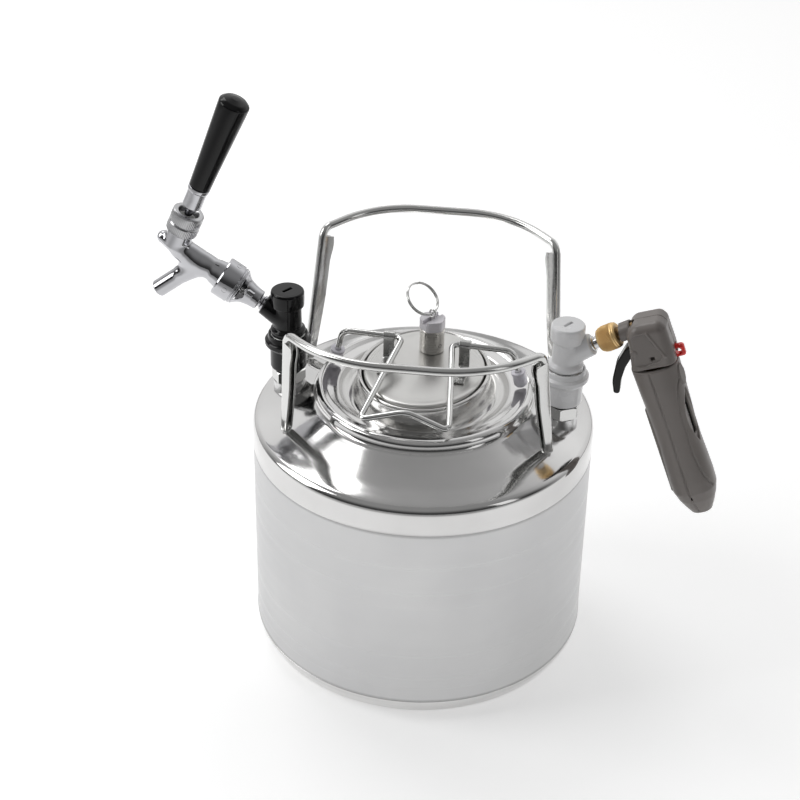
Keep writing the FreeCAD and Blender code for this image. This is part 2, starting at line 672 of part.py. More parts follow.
def head_half(which):
    """Front (-Y) or rear (+Y) moulded half of the head, with its trigger pin boss."""
    shell = head_solid().cut(rod(station(1, 34.0), station(1, 60.0), 4.4))
    shell = shell.cut(rod(TRIGGER_PIVOT + V(0, -30, 0), TRIGGER_PIVOT + V(0, 30, 0), 1.25))
    y0, y1 = (-40, -0.05) if which < 0 else (0.05, 40)
    half = shell.common(box(60, 220, y0, y1, 100, 300))
    boss = rod(TRIGGER_PIVOT + V(0, which * 5.3, 0), TRIGGER_PIVOT + V(0, which * 11.0, 0), 2.8)
    boss = boss.cut(rod(TRIGGER_PIVOT + V(0, -30, 0), TRIGGER_PIVOT + V(0, 30, 0), 1.25))
    half = half.fuse(boss)
    if which < 0:
        centre = in_sleeve(2.0, -7.5)
        half = half.cut(box(centre.x - 1.2, centre.x + 1.2, -20, -9.5, centre.z - 1.2, centre.z + 1.2))
    return half.removeSplitter()


def trigger_pin():
    return rod(TRIGGER_PIVOT + V(0, -11.6, 0), TRIGGER_PIVOT + V(0, 11.6, 0), 1.2)


def charger_trigger():
    blade = outline_xz([(130.8, 238.3), ((124.2, 231.5), (120.2, 221.0)), ((119.0, 211.0), (121.2, 202.8)),
                        ((123.0, 200.6), (124.9, 202.6)), ((123.9, 211.0), (125.6, 219.0)),
                        ((128.6, 227.2), (134.0, 233.4))])
    blade = blade.extrude(V(0, 9.0, 0))
    blade.translate(V(0, -4.5, 0))
    hub = rod(TRIGGER_PIVOT + V(0, -4.5, 0), TRIGGER_PIVOT + V(0, 4.5, 0), 3.2)
    cam = on_sleeve(box(-10.5, -6.6, -2.0, 2.0, -15.5, -9.6))
    trigger = blade.fuse([hub, cam])
    trigger = trigger.cut(rod(TRIGGER_PIVOT + V(0, -9, 0), TRIGGER_PIVOT + V(0, 9, 0), 1.3))
    return trigger.removeSplitter()


def valve_pin():
    return on_sleeve(rod(V(-6.2, 0, -11), V(-0.6, 0, -11), 1.05))


def safety_latch():
    outer = box(11.0, 20.6, -2.4, 2.4, -12.2, -3.8)
    ends = [e for e in outer.Edges if abs(e.Length - 4.8) < 0.01 and e.CenterOfMass.x > 15]
    outer = outer.makeFillet(2.3, ends)
    hole = Part.makeCylinder(2.0, 12, V(16.4, -6, -8.0), Y_AXIS)
    stem = box(6.6, 12.0, -1.8, 1.8, -9.6, -6.4)
    return on_sleeve(outer.cut(hole).fuse(stem).removeSplitter())


def sleeve_section(half_w, half_y, t):
    return Part.Wire([Part.Ellipse(V(0, 0, t), half_w, half_y).toShape()])


def cartridge_sleeve():
    stations = [(15.0, 13.8, 0.6), (14.4, 13.4, 20.0), (14.2, 13.2, 55.0), (14.8, 13.6, 88.0)]
    grip = Part.makeLoft([sleeve_section(*s) for s in stations], True, False)
    tip = Part.makeLoft([sleeve_section(14.8, 13.6, 88.0), sleeve_section(11.8, 11.0, 100.0),
                         sleeve_section(5.4, 5.0, SLEEVE_LENGTH - 0.4)], True, True)
    sleeve = grip.fuse(tip)
    sleeve = sleeve.cut(tube(0, 11.2, 0, 95.0)).cut(tube(0, 6.0, 94.0, 99.0))
    window = box(9.0, 18.0, -2.6, 2.6, 22.0, 54.0)
    window = window.makeFillet(2.5, [e for e in window.Edges if abs(e.Length - 9.0) < 0.01])
    pad = Part.makeCylinder(3.4, 2.8, V(13.2, 0, 6.6), X_AXIS).fuse(
        [Part.makeCylinder(3.4, 2.8, V(13.2, 0, 13.4), X_AXIS), box(13.2, 16.0, -3.4, 3.4, 6.6, 13.4)])
    return on_sleeve(sleeve.cut(window).fuse(pad).removeSplitter())


def co2_cartridge():
    shell = turned([(0, 8.6), (4.2, 8.6), (4.4, 8.9), (4.4, 14.0), ((6.2, 17.2), (9.2, 20.5)),
                    ((10.6, 22.6), (10.8, 25.5)), (10.8, 85.0), ((8.2, 91.2), (2.0, 94.0)), (0, 94.0)])
    cavity = turned([(0, 10.4), (2.6, 10.4), (2.6, 14.5), ((5.0, 18.5), (7.9, 21.8)),
                     ((9.1, 23.4), (9.3, 26.0)), (9.3, 84.5), ((7.0, 89.6), (1.8, 92.2)), (0, 92.2)])
    return on_sleeve(shell.cut(cavity))


def build():
    save("keg_wall", keg_wall())
    save("keg_bottom_dome", keg_bottom_dome())
    save("keg_top_dome", keg_top_dome())
    save("lid_mouth_ring", lid_mouth_ring())
    save("front_handle", handle(-1, 42.1, 63.6, 97.0, 258.0))
    save("rear_handle", handle(1, 42.6, 75.0, 105.5, 258.0))
    post_parts()
    disconnect(-1, "liquid")
    disconnect(1, "gas")
    save("lid_plate", lid_plate())
    save("lid_gasket", lid_gasket())
    save("bail_brackets", bail_brackets())
    save("lid_bail", lid_bail())
    save("bail_feet", bail_feet())
    save("prv_body", prv_body())
    save("prv_locknut", prv_locknut())
    save("prv_cap", prv_cap())
    save("prv_stem", prv_stem())
    save("prv_spring", moved(coil(2.9, 0.4, 204.8, 212.1, 4), 0, PRV_Y))
    save("prv_ring", prv_ring())
    save("faucet_adapter", faucet_adapter())
    save("coupling_washer", coupling_washer())
    save("coupling_nut", coupling_nut())
    save("faucet_body", faucet_body())
    save("faucet_shaft", faucet_shaft())
    save("faucet_seat_washer", faucet_seat_washer())
    save("faucet_bonnet", faucet_bonnet())
    save("faucet_ball_washer", faucet_ball_washer())
    save("faucet_lever", faucet_lever())
    save("handle_ferrule", handle_ferrule())
    save("tap_handle", tap_handle())
    save("charger_nut", charger_nut())
    save("charger_valve_block", valve_block())
    save("charger_head_front", head_half(-1))
    save("charger_head_rear", head_half(1))
    save("charger_trigger_pin", trigger_pin())
    save("charger_trigger", charger_trigger())
    save("charger_valve_pin", valve_pin())
    save("charger_piercer", on_sleeve(turned([(0, 3.2), (1.7, 3.2), (1.7, 6.0), (0.5, 8.4), (0, 8.4)])))
    save("safety_latch", safety_latch())
    save("cartridge_sleeve", cartridge_sleeve())
    save("co2_cartridge", co2_cartridge())
    save("cartridge_gasket", on_sleeve(tube(2.0, 5.0, 7.2, 8.5)))


os.makedirs("parts", exist_ok=True)
build()
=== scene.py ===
import math
import bpy
import bmesh
import numpy as np
from mathutils import Matrix, Vector


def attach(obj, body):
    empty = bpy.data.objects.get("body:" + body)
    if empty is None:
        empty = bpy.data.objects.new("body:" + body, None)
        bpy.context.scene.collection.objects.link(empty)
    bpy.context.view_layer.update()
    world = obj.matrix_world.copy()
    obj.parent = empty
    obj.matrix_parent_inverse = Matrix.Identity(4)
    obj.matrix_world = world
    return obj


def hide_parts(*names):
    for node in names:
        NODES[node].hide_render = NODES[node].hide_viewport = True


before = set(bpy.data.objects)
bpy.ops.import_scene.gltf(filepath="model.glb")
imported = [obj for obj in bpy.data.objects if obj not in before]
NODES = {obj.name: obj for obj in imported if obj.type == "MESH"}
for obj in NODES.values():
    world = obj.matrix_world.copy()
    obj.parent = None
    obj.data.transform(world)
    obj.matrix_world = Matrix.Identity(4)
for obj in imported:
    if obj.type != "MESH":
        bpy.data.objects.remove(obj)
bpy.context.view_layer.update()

MM = 0.001

# Axes and centres that several pieces share, in millimetres.
POST_X, ARM_Z = 89.5, 223.0
ARM_LEAN = (0.85264, 0.52250)
LIQ_ROOT, GAS_ROOT = (-POST_X, 0, ARM_Z), (POST_X, 0, ARM_Z)
LIQ_AXIS, GAS_AXIS = (-ARM_LEAN[0], 0, ARM_LEAN[1]), (ARM_LEAN[0], 0, ARM_LEAN[1])
LEVER_ROOT, LEVER_AXIS = (-162.145, 0, 267.517), (0.38268, 0, 0.92388)
SPOUT_TIP = (-175.0, 0, 234.0)
VALVE_Y = 23.0
RING_PIVOT = Vector((0, VALVE_Y, 226.8))
RING_RADIUS = 11.3
BAIL_PIVOT = (7.5, 215.5)
TRIGGER_PIVOT = (131.5, 0, 235.5)
SLEEVE_TOP, SLEEVE_TILT = (145.3, 0.0, 222.7), 20.9

# Camera fitted to the photograph, and studio.
AZIMUTH, ELEVATION, ROLL = 11.5, 32.79, 1.157
LENS, SENSOR, DISTANCE = 85.54, 36.0, 1.2231
TARGET = (-14.9, -3.0, 174.85)
LAMP_TARGET = (0, 0, 0.13)
# Painted pool of light on the floor: its colour and glowing emission are brightest round the keg and fade
# outwards.
PAINTED_POOL_SHIFT, PAINTED_POOL_SCALE = (0.04, -0.44, 0.0), (0.80, 0.90, 1.0)
WORLD_BACK, WORLD_LOW, WORLD_TOP = 0.80, 0.05, 0.30
# Floor glow near and far is painted light; the darker floor colour far out is painted shade.
PAINTED_GLOW_NEAR, PAINTED_GLOW_FAR, FLOOR_PAINTED_SHADE = 0.38, 0.07, 0.52
PAINTED_POOL_EDGE, PAINTED_POOL_END = 0.70, 1.15
LAMPS = (("key_left", (-2.0, -0.5, 1.3), (1.2, 1.8), 22.0), ("top_left", (-0.9, 0.9, 2.0), (0.9, 0.9), 8.0),
         ("fill_right", (1.9, -0.9, 1.0), (0.5, 1.4), 2.0))


# ---- geometry in millimetres ----
def aim(origin, direction):
    """Local +Z laid along direction, origin in millimetres."""
    turn = Vector((0, 0, 1)).rotation_difference(Vector(direction).normalized())
    return Matrix.Translation(Vector(origin)) @ turn.to_matrix().to_4x4()


def make(name, points, faces, mat, body, nodes=(), place=None, sharp=32.0):
    """Mesh piece that rides on a body and stands for CAD nodes."""
    mesh = bpy.data.meshes.new(name)
    pts = np.asarray(points, float)
    if place is not None:
        m = np.array(place)
        pts = pts @ m[:3, :3].T + m[:3, 3]
    mesh.from_pydata((pts * MM).tolist(), [], [list(f) for f in faces])
    bm = bmesh.new()
    bm.from_mesh(mesh)
    bmesh.ops.remove_doubles(bm, verts=bm.verts, dist=1e-6)
    bmesh.ops.recalc_face_normals(bm, faces=bm.faces)
    bm.to_mesh(mesh)
    bm.free()
    mesh.shade_smooth()
    if sharp:
        mesh.set_sharp_from_angle(angle=math.radians(sharp))
    return settle(name, mesh, mat, body, nodes)


def settle(name, data, mat, body, nodes):
    data.materials.append(mat)
    obj = bpy.data.objects.new(name, data)
    bpy.context.scene.collection.objects.link(obj)
    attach(obj, body)
    if nodes:
        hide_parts(*nodes)
    return obj


def rounded(points, closed=True, steps=5):
    """2D outline whose points may carry a third value, the corner's radius."""
    out = []
    count = len(points)
    for i, p in enumerate(points):
        radius = p[2] if len(p) > 2 else 0.0
        if radius <= 0 or (not closed and i in (0, count - 1)):
            out.append((p[0], p[1]))
            continue
        here = Vector(p[:2])
        a = Vector(points[i - 1][:2]) - here
        b = Vector(points[(i + 1) % count][:2]) - here
        angle = a.angle(b)
        if angle > 3.1:
            out.append((p[0], p[1]))
            continue
        reach = min(radius / math.tan(angle / 2), a.length * 0.49, b.length * 0.49)
        size = reach * math.tan(angle / 2)
        centre = here + (a.normalized() + b.normalized()).normalized() * (size / math.sin(angle / 2))
        start = here + a.normalized() * reach - centre
        end = here + b.normalized() * reach - centre
        sweep = start.angle_signed(end)
        for k in range(steps + 1):
            turn = -sweep * k / steps
            c, s = math.cos(turn), math.sin(turn)
            out.append((centre.x + start.x * c - start.y * s, centre.y + start.x * s + start.y * c))
    return out


def quads(rows, count, closed=False):
    """Faces between neighbouring rings of count points."""
    return [(i * count + k, i * count + (k + 1) % count, (i + 1) % rows * count + (k + 1) % count,
             (i + 1) % rows * count + k) for i in range(rows if closed else rows - 1) for k in range(count)]


def lathe(name, profile, mat, body, nodes=(), place=None, seg=96, closed=True, wave=None,
          sharp=32.0, steps=5):
    """Turned piece about local +Z; wave(angle, z, radius) adds to the radius."""
    line = rounded(profile, closed, steps)
    points = []
    for r, z in line:
        for k in range(seg):
            a = 2 * math.pi * k / seg
            radius = r + (wave(a, z, r) if wave and r > 0.01 else 0.0)
            points.append((radius * math.cos(a), radius * math.sin(a), z))
    return make(name, points, quads(len(line), seg, closed), mat, body, nodes, place, sharp)


def bent(points, bends, steps=8):
    """Points along straight runs joined by arcs."""
    pts = [Vector(p) for p in points]
    out = [pts[0]]
    for i in range(1, len(pts) - 1):
        before = (pts[i - 1] - pts[i]).normalized()
        after = (pts[i + 1] - pts[i]).normalized()
        half = before.angle(after) / 2
        reach = bends[i - 1] / math.tan(half)
        centre = pts[i] + (before + after).normalized() * (bends[i - 1] / math.sin(half))
        start = pts[i] + before * reach - centre
        axis = start.cross(pts[i] + after * reach - centre)
        sweep = math.pi - 2 * half
        for k in range(steps + 1):
            out.append(centre + Matrix.Rotation(sweep * k / steps, 3, axis) @ start)
    out.append(pts[-1])
    return out


def wire(name, points, radius, mat, body, nodes=(), cyclic=False, res=6):
    """Round bar or wire along points."""
    data = bpy.data.curves.new(name, "CURVE")
    data.dimensions = "3D"
    data.bevel_depth = radius * MM
    data.bevel_resolution = res
    data.use_fill_caps = True
    spline = data.splines.new("POLY")
    spline.points.add(len(points) - 1)
    for p, q in zip(spline.points, points):
        p.co = (q[0] * MM, q[1] * MM, q[2] * MM, 1)
    spline.use_cyclic_u = cyclic
    spline.use_smooth = True
    settle(name, data, mat, body, nodes)


# ---- smooth solids from distance fields; k is the width of a blend ----
def length3(p):
    return np.sqrt((p ** 2).sum(axis=-1))


def softened(dx, dy, edge):
    """Distance to two crossing faces whose shared corner is rounded."""
    return np.minimum(np.maximum(dx, dy), 0) + np.sqrt(np.maximum(dx, 0) ** 2 + np.maximum(dy, 0) ** 2) - edge


def capsule(p, a, b, ra, rb=None):
    """Round-ended rod, its radius going from ra to rb."""
    rb = ra if rb is None else rb
    a, b = np.array(a, float), np.array(b, float)
    ab = b - a
    h = np.clip(((p - a) @ ab) / (ab @ ab), 0, 1)
    return length3(p - a - h[..., None] * ab) - (ra + (rb - ra) * h)


def drum(p, a, b, radius, edge=0.5, radius_b=None):
    """Cylinder or cone between two points with rounded ends."""
    a, b = np.array(a, float), np.array(b, float)
    size = np.linalg.norm(b - a)
    n = (b - a) / size
    along = (p - a) @ n
    off = length3(p - a - along[..., None] * n)
    r = radius if radius_b is None else radius + (radius_b - radius) * np.clip(along / size, 0, 1)
    return softened(off - r + edge, np.abs(along - size / 2) - size / 2 + edge, edge)


def block(p, lo, hi, edge=0.5):
    lo, hi = np.array(lo, float), np.array(hi, float)
    q = np.abs(p - (lo + hi) / 2) - (hi - lo) / 2 + edge
    return np.minimum(q.max(axis=-1), 0) + length3(np.maximum(q, 0)) - edge


def outline2(x, y, poly):
    """Signed distance to a closed 2D outline."""
    pts = np.array(poly, float)
    d = np.full(x.shape, 1e9)
    sign = np.ones(x.shape)
    j = len(pts) - 1
    for i in range(len(pts)):
        ex, ey = pts[j] - pts[i]
        wx, wy = x - pts[i][0], y - pts[i][1]
        t = np.clip((wx * ex + wy * ey) / (ex * ex + ey * ey + 1e-12), 0, 1)
        d = np.minimum(d, (wx - ex * t) ** 2 + (wy - ey * t) ** 2)
        c1, c2, c3 = y >= pts[i][1], y < pts[j][1], ex * wy > ey * wx
        flip = (c1 & c2 & c3) | (~c1 & ~c2 & ~c3)
        sign = np.where(flip, -sign, sign)
        j = i
    return sign * np.sqrt(d)


def from_axis(q):
    return np.sqrt(q[..., 0] ** 2 + q[..., 1] ** 2)


def slab(p, poly, half, edge=0.6):
    """Outline in local XZ, thickness +-half in Y, rounded edges."""
    return softened(outline2(p[..., 0], p[..., 2], poly) + edge, np.abs(p[..., 1]) - half + edge, edge)


def join(a, b, k=0.0):
    if k <= 0:
        return np.minimum(a, b)
    h = np.clip(0.5 + 0.5 * (b - a) / k, 0, 1)
    return b + (a - b) * h - k * h * (1 - h)


def carve(a, b, k=0.0):
    return -join(-a, b, k)


def solid(name, field, lo, hi, step, mat, body, nodes=(), place=None, sharp=0.0):
    """Surface net of a distance field, its points moved onto the surface."""
    lo, hi = np.array(lo, float), np.array(hi, float)
    n = np.ceil((hi - lo) / step).astype(int) + 1
    axes = [lo[i] + step * np.arange(n[i]) for i in range(3)]
    grid = np.stack(np.meshgrid(*axes, indexing="ij"), axis=-1)
    v = field(grid)
    inside = v < 0
    cells = tuple(n - 1)
    total = np.zeros(cells + (3,))
    hits = np.zeros(cells)
    corners = [(i, j, k) for i in (0, 1) for j in (0, 1) for k in (0, 1)]

    def part(array, c):
        return array[c[0]:c[0] + cells[0], c[1]:c[1] + cells[1], c[2]:c[2] + cells[2]]

    for a in corners:
        for b in corners:
            if sum(abs(x - y) for x, y in zip(a, b)) != 1 or a > b:
                continue
            cross = part(inside, a) != part(inside, b)
            va, vb = part(v, a), part(v, b)
            t = np.where(cross, va / np.where(cross, va - vb, 1.0), 0.0)
            point = np.array(a) + t[..., None] * (np.array(b) - np.array(a))
            total += np.where(cross[..., None], point, 0)
            hits += cross
    live = hits > 0
    where = np.argwhere(live)
    index = -np.ones(cells, int)
    index[live] = np.arange(len(where))
    points = lo + (where + total[live] / hits[live][:, None]) * step
    eps = step * 0.05
    for _ in range(4):
        d = field(points)
        grad = np.stack([(field(points + eps * e) - field(points - eps * e)) / (2 * eps)
                         for e in np.eye(3)], axis=-1)
        move = (d / np.maximum((grad ** 2).sum(axis=-1), 0.05))[:, None] * grad
        size = np.maximum(length3(move), 1e-9)
        points = points - move * np.minimum(1, step * 0.4 / size)[:, None]
    faces = []
    for axis in range(3):
        u, w = (axis + 1) % 3, (axis + 2) % 3
        first = inside.take(range(n[axis] - 1), axis)
        second = inside.take(range(1, n[axis]), axis)
        for e in np.argwhere(first != second):
            if e[u] == 0 or e[w] == 0 or e[u] >= cells[u] or e[w] >= cells[w]:
                continue
            quad = []
            for du, dw in ((-1, -1), (0, -1), (0, 0), (-1, 0)):
                c = e.copy()
                c[u] += du
                c[w] += dw
                quad.append(index[tuple(c)])
            faces.append(quad if first[tuple(e)] else quad[::-1])
    return make(name, points, faces, mat, body, nodes, place, sharp)


# ---- materials ----
def start(name):
    mat = bpy.data.materials.new(name)
    mat.use_nodes = True
    tree = mat.node_tree
    return mat, tree, tree.nodes["Principled BSDF"], node(tree, "TexCoord").outputs["Object"]


def node(tree, kind, **values):
    made = tree.nodes.new("ShaderNode" + kind)
    for key, value in values.items():
        setattr(made, key, value)
    return made


def turned_coords(tree, origin, axis):
    """Radius and height about an axis, in millimetres, as a vector."""
    axis = Vector(axis).normalized()
    coord = node(tree, "TexCoord")
    sub = node(tree, "VectorMath", operation="SUBTRACT")
    sub.inputs[1].default_value = Vector(origin) * MM
    dot = node(tree, "VectorMath", operation="DOT_PRODUCT")
    dot.inputs[1].default_value = axis
    scale = node(tree, "VectorMath", operation="SCALE")
    scale.inputs[0].default_value = axis
    off = node(tree, "VectorMath", operation="SUBTRACT")
    size = node(tree, "VectorMath", operation="LENGTH")
    pair = node(tree, "CombineXYZ")
    out = node(tree, "VectorMath", operation="SCALE")
    out.inputs["Scale"].default_value = 1000.0
    link = tree.links.new
    link(coord.outputs["Object"], sub.inputs[0])
    link(sub.outputs[0], dot.inputs[0])
    link(dot.outputs["Value"], scale.inputs["Scale"])
    link(sub.outputs[0], off.inputs[0])
    link(scale.outputs[0], off.inputs[1])
    link(off.outputs[0], size.inputs[0])
    link(size.outputs["Value"], pair.inputs[0])
    link(dot.outputs["Value"], pair.inputs[1])
    link(pair.outputs[0], out.inputs[0])
    return out.outputs[0]


def noise(tree, vector, scale, detail=3.0, stretch=None):
    if stretch:
        mapping = node(tree, "Mapping")
        mapping.inputs["Scale"].default_value = stretch
        tree.links.new(vector, mapping.inputs["Vector"])
        vector = mapping.outputs[0]
    tex = node(tree, "TexNoise")
    tex.inputs["Scale"].default_value = scale
    tex.inputs["Detail"].default_value = detail
    tree.links.new(vector, tex.inputs["Vector"])
    return tex.outputs["Fac"]


def spread(tree, fac, low, high, a=0.3, b=0.7, kind="LINEAR"):
    """One value mapped so that a gives low and b gives high."""
    ramp = node(tree, "MapRange", interpolation_type=kind)
    for key, value in (("From Min", a), ("From Max", b), ("To Min", low), ("To Max", high)):
        ramp.inputs[key].default_value = value
    tree.links.new(fac, ramp.inputs["Value"])
    return ramp.outputs[0]


def level(tree, fac, low, high, a, b):
    """As spread, with smooth ends."""
    return spread(tree, fac, low, high, a, b, "SMOOTHSTEP")


def maths(tree, a, b, operation="ADD"):
    made = node(tree, "Math", operation=operation)
    tree.links.new(a, made.inputs[0])
    tree.links.new(b, made.inputs[1])
    return made.outputs[0]


def tint(tree, fac, dark, light):
    """Colour from dark to light; dark may be another node's output."""
    mix = node(tree, "Mix", data_type="RGBA")
    if isinstance(dark, tuple):
        mix.inputs["A"].default_value = (*dark, 1)
    else:
        tree.links.new(dark, mix.inputs["A"])
    mix.inputs["B"].default_value = (*light, 1)
    tree.links.new(fac, mix.inputs["Factor"])
    return mix.outputs["Result"]


def bump(tree, bsdf, height, strength, distance):
    made = node(tree, "Bump")
    made.inputs["Strength"].default_value = strength
    made.inputs["Distance"].default_value = distance
    tree.links.new(height, made.inputs["Height"])
    tree.links.new(made.outputs[0], bsdf.inputs["Normal"])


def steel(name, colour, rough, vary=0.03, lines=2.0, relief=0.05, origin=(0, 0, 0), axis=(0, 0, 1),
          aniso=0.0, wavy=0.0):
    """Turned or brushed metal: fine rings about an axis over broad handling marks."""
    mat, tree, bsdf, coord = start(name)
    link = tree.links.new
    rings = turned_coords(tree, origin, axis)
    fine = noise(tree, rings, lines, 4.0)
    broad = noise(tree, coord, 28.0, 4.0)
    specks = noise(tree, coord, 900.0, 2.0)
    dark = tuple(c * 0.93 for c in colour)
    link(tint(tree, spread(tree, broad, 0, 1), dark, colour), bsdf.inputs["Base Color"])
    mixed = maths(tree, spread(tree, fine, -vary, vary), spread(tree, broad, rough - vary, rough + vary))
    link(mixed, bsdf.inputs["Roughness"])
    bsdf.inputs["Metallic"].default_value = 1.0
    bsdf.inputs["Anisotropic"].default_value = aniso
    height = maths(tree, spread(tree, fine, 0, 1), spread(tree, specks, 0, 0.3))
    if wavy:
        height = maths(tree, height, spread(tree, noise(tree, coord, 22.0, 1.0), 0, wavy))
    bump(tree, bsdf, height, relief, 0.00004)
    return mat


def plastic(name, colour, rough, grain=700.0, relief=0.2, coat=0.0, worn=1.35, through=0.0):
    """Moulded plastic: pebbled skin, uneven gloss, edges rubbed a little lighter."""
    mat, tree, bsdf, coord = start(name)
    link = tree.links.new
    skin = noise(tree, coord, grain, 3.0)
    cloud = noise(tree, coord, 45.0, 4.0)
    base = tint(tree, spread(tree, cloud, 0, 1), tuple(c * 0.92 for c in colour), colour)
    edge = spread(tree, node(tree, "NewGeometry").outputs["Pointiness"], 0.0, 0.6, 0.53, 0.62)
    rubbed = tuple(min(1, c * worn + 0.004) for c in colour)
    link(tint(tree, edge, base, rubbed), bsdf.inputs["Base Color"])
    link(spread(tree, cloud, rough - 0.05, rough + 0.05), bsdf.inputs["Roughness"])
    bsdf.inputs["Coat Weight"].default_value = coat
    bsdf.inputs["Coat Roughness"].default_value = 0.08
    bsdf.inputs["Transmission Weight"].default_value = through
    bump(tree, bsdf, skin, relief, 0.00006)
    return mat


def wall_metal():
    """Satin wall with darker, rougher bands along the two girth welds."""
    mat, tree, bsdf, coord = start("satin_wall")
    link = tree.links.new
    rings = turned_coords(tree, (0, 0, 0), (0, 0, 1))
    fine = noise(tree, rings, 3.2, 5.0)
    hand = noise(tree, coord, 14.0, 3.0)
    rows = noise(tree, rings, 0.16, 3.0, (0.0, 1.0, 1.0))
    split = node(tree, "SeparateXYZ")
    link(rings, split.inputs[0])
    bands = None
    for height, width in ((16.0, 2.0), (148.0, 2.6)):
        off = node(tree, "Math", operation="SUBTRACT")
        off.inputs[1].default_value = height
        link(split.outputs["Y"], off.inputs[0])
        size = node(tree, "Math", operation="ABSOLUTE")
        link(off.outputs[0], size.inputs[0])
        near = spread(tree, size.outputs[0], 1.0, 0.0, width * 0.4, width)
        bands = near if bands is None else maths(tree, bands, near)
    colour = tint(tree, spread(tree, hand, 0, 1), (0.545, 0.545, 0.55), (0.60, 0.60, 0.60))
    link(tint(tree, bands, colour, (0.43, 0.43, 0.43)), bsdf.inputs["Base Color"])
    rough = maths(tree, spread(tree, fine, -0.03, 0.03), spread(tree, rows, 0.27, 0.36))
    link(maths(tree, rough, spread(tree, bands, 0.0, 0.08, 0, 1)), bsdf.inputs["Roughness"])
    bsdf.inputs["Metallic"].default_value = 1.0
    bsdf.inputs["Anisotropic"].default_value = 0.55
    tangent = node(tree, "Tangent", direction_type="RADIAL", axis="Z")
    link(tangent.outputs[0], bsdf.inputs["Tangent"])
    height = maths(tree, spread(tree, fine, 0, 1), spread(tree, noise(tree, coord, 17.0, 1.5), 0, 9.0))
    bump(tree, bsdf, height, 0.10, 0.00004)
    return mat


WALL = wall_metal()
DOME = steel("polished_dome", (0.69, 0.685, 0.68), 0.10, 0.02, 1.6, 0.08, wavy=3.0)
SHELL = steel("inner_dome", (0.70, 0.70, 0.70), 0.3)
LID = steel("satin_lid", (0.66, 0.655, 0.64), 0.29, 0.015, 3.0, 0.02)
MOUTH = steel("mouth_steel", (0.66, 0.655, 0.645), 0.19, 0.03, 1.6, 0.05)
STRAP = steel("bracket_steel", (0.54, 0.54, 0.53), 0.22, 0.05, 1.0, 0.12, axis=(1, 0, 0))
HANDLE = steel("handle_steel", (0.68, 0.68, 0.67), 0.15, 0.03, 0.8, 0.10, axis=(0, 1, 0))
WIRE = steel("wire_steel", (0.68, 0.68, 0.67), 0.14, 0.03, 0.8, 0.10, axis=(0, 1, 0))
VALVE = steel("valve_steel", (0.64, 0.62, 0.59), 0.24, 0.05, 3.5, 0.14, origin=(0, VALVE_Y, 0), aniso=0.4)
INNER = steel("turned_steel", (0.68, 0.68, 0.67), 0.28)
LIQ_POST = steel("post_steel_liquid", (0.66, 0.66, 0.65), 0.15, 0.03, 3.0, 0.10, origin=(-POST_X, 0, 0))
CHROME = steel("chrome_arm", (0.52, 0.52, 0.54), 0.035, 0.012, 2.0, 0.03, LIQ_ROOT, LIQ_AXIS)
LEVER = steel("chrome_lever", (0.54, 0.54, 0.56), 0.08, 0.02, 2.5, 0.06, LEVER_ROOT, LEVER_AXIS)
SATIN = steel("bonnet_satin", (0.50, 0.50, 0.51), 0.20, 0.04, 3.0, 0.10, LEVER_ROOT, LEVER_AXIS)
FLARE = steel("gas_flare_steel", (0.64, 0.64, 0.64), 0.13, 0.03, 3.0, 0.08, GAS_ROOT, GAS_AXIS)
BRASS = steel("nut_brass", (0.80, 0.56, 0.27), 0.40, 0.04, 3.0, 0.10, GAS_ROOT, GAS_AXIS)
BLACK = plastic("black_gloss", (0.003, 0.003, 0.0035), 0.12, 500.0, 0.04, 0.1, 1.2)
GREY = plastic("light_grey", (0.78, 0.78, 0.79), 0.26, 420.0, 0.10, 0.25, 1.06)
CAPGREY = plastic("valve_cap_grey", (0.78, 0.76, 0.80), 0.34, 500.0, 0.2, 0.1, 1.1)
LILAC = plastic("foot_lilac", (0.82, 0.80, 0.87), 0.24, 350.0, 0.10, 0.3, 1.03, 0.08)
TAUPE = plastic("charger_taupe", (0.190, 0.170, 0.158), 0.36, 950.0, 0.22, 0.05, 1.4)
TRIGGER = plastic("trigger_black", (0.004, 0.004, 0.004), 0.20, 600.0, 0.10, 0.1, 1.2)
for deep_black in (BLACK, TRIGGER):  # these two reflect little
    deep_black.node_tree.nodes["Principled BSDF"].inputs["Specular IOR Level"].default_value = 0.25
RED = plastic("latch_red", (0.92, 0.025, 0.018), 0.20, 500.0, 0.12, 0.4, 1.2)
RUBBER = plastic("seal_rubber", (0.02, 0.02, 0.02), 0.6)
WHITE = plastic("white_seal", (0.72, 0.72, 0.70), 0.4)
# Very dark brass for the valve stub and neck, far darker than the nut's brass.
DARK_BRASS = steel("valve_brass", (0.22, 0.15, 0.08), 0.45)
# Near-black material for shallow cups that stand for holes: painted shade.
HOLE_SHADE = plastic("painted_hole_shade", (0.01, 0.009, 0.009), 0.7)


def bevel(obj, width, angle):
    edge = obj.modifiers.new("bevel", "BEVEL")
    edge.width, edge.segments = width * MM, 2
    edge.limit_method, edge.angle_limit = "ANGLE", math.radians(angle)


def finish_node(name, mat, chamfer=0.0):
    """CAD node kept as it is, with a finish."""
    obj = NODES[name]
    obj.data.materials.clear()
    obj.data.materials.append(mat)
    weld = obj.modifiers.new("weld", "WELD")
    weld.merge_threshold = 2e-6
    if chamfer:
        bevel(obj, chamfer, 40)
    normals = obj.modifiers.new("normals", "WEIGHTED_NORMAL")
    normals.keep_sharp = True


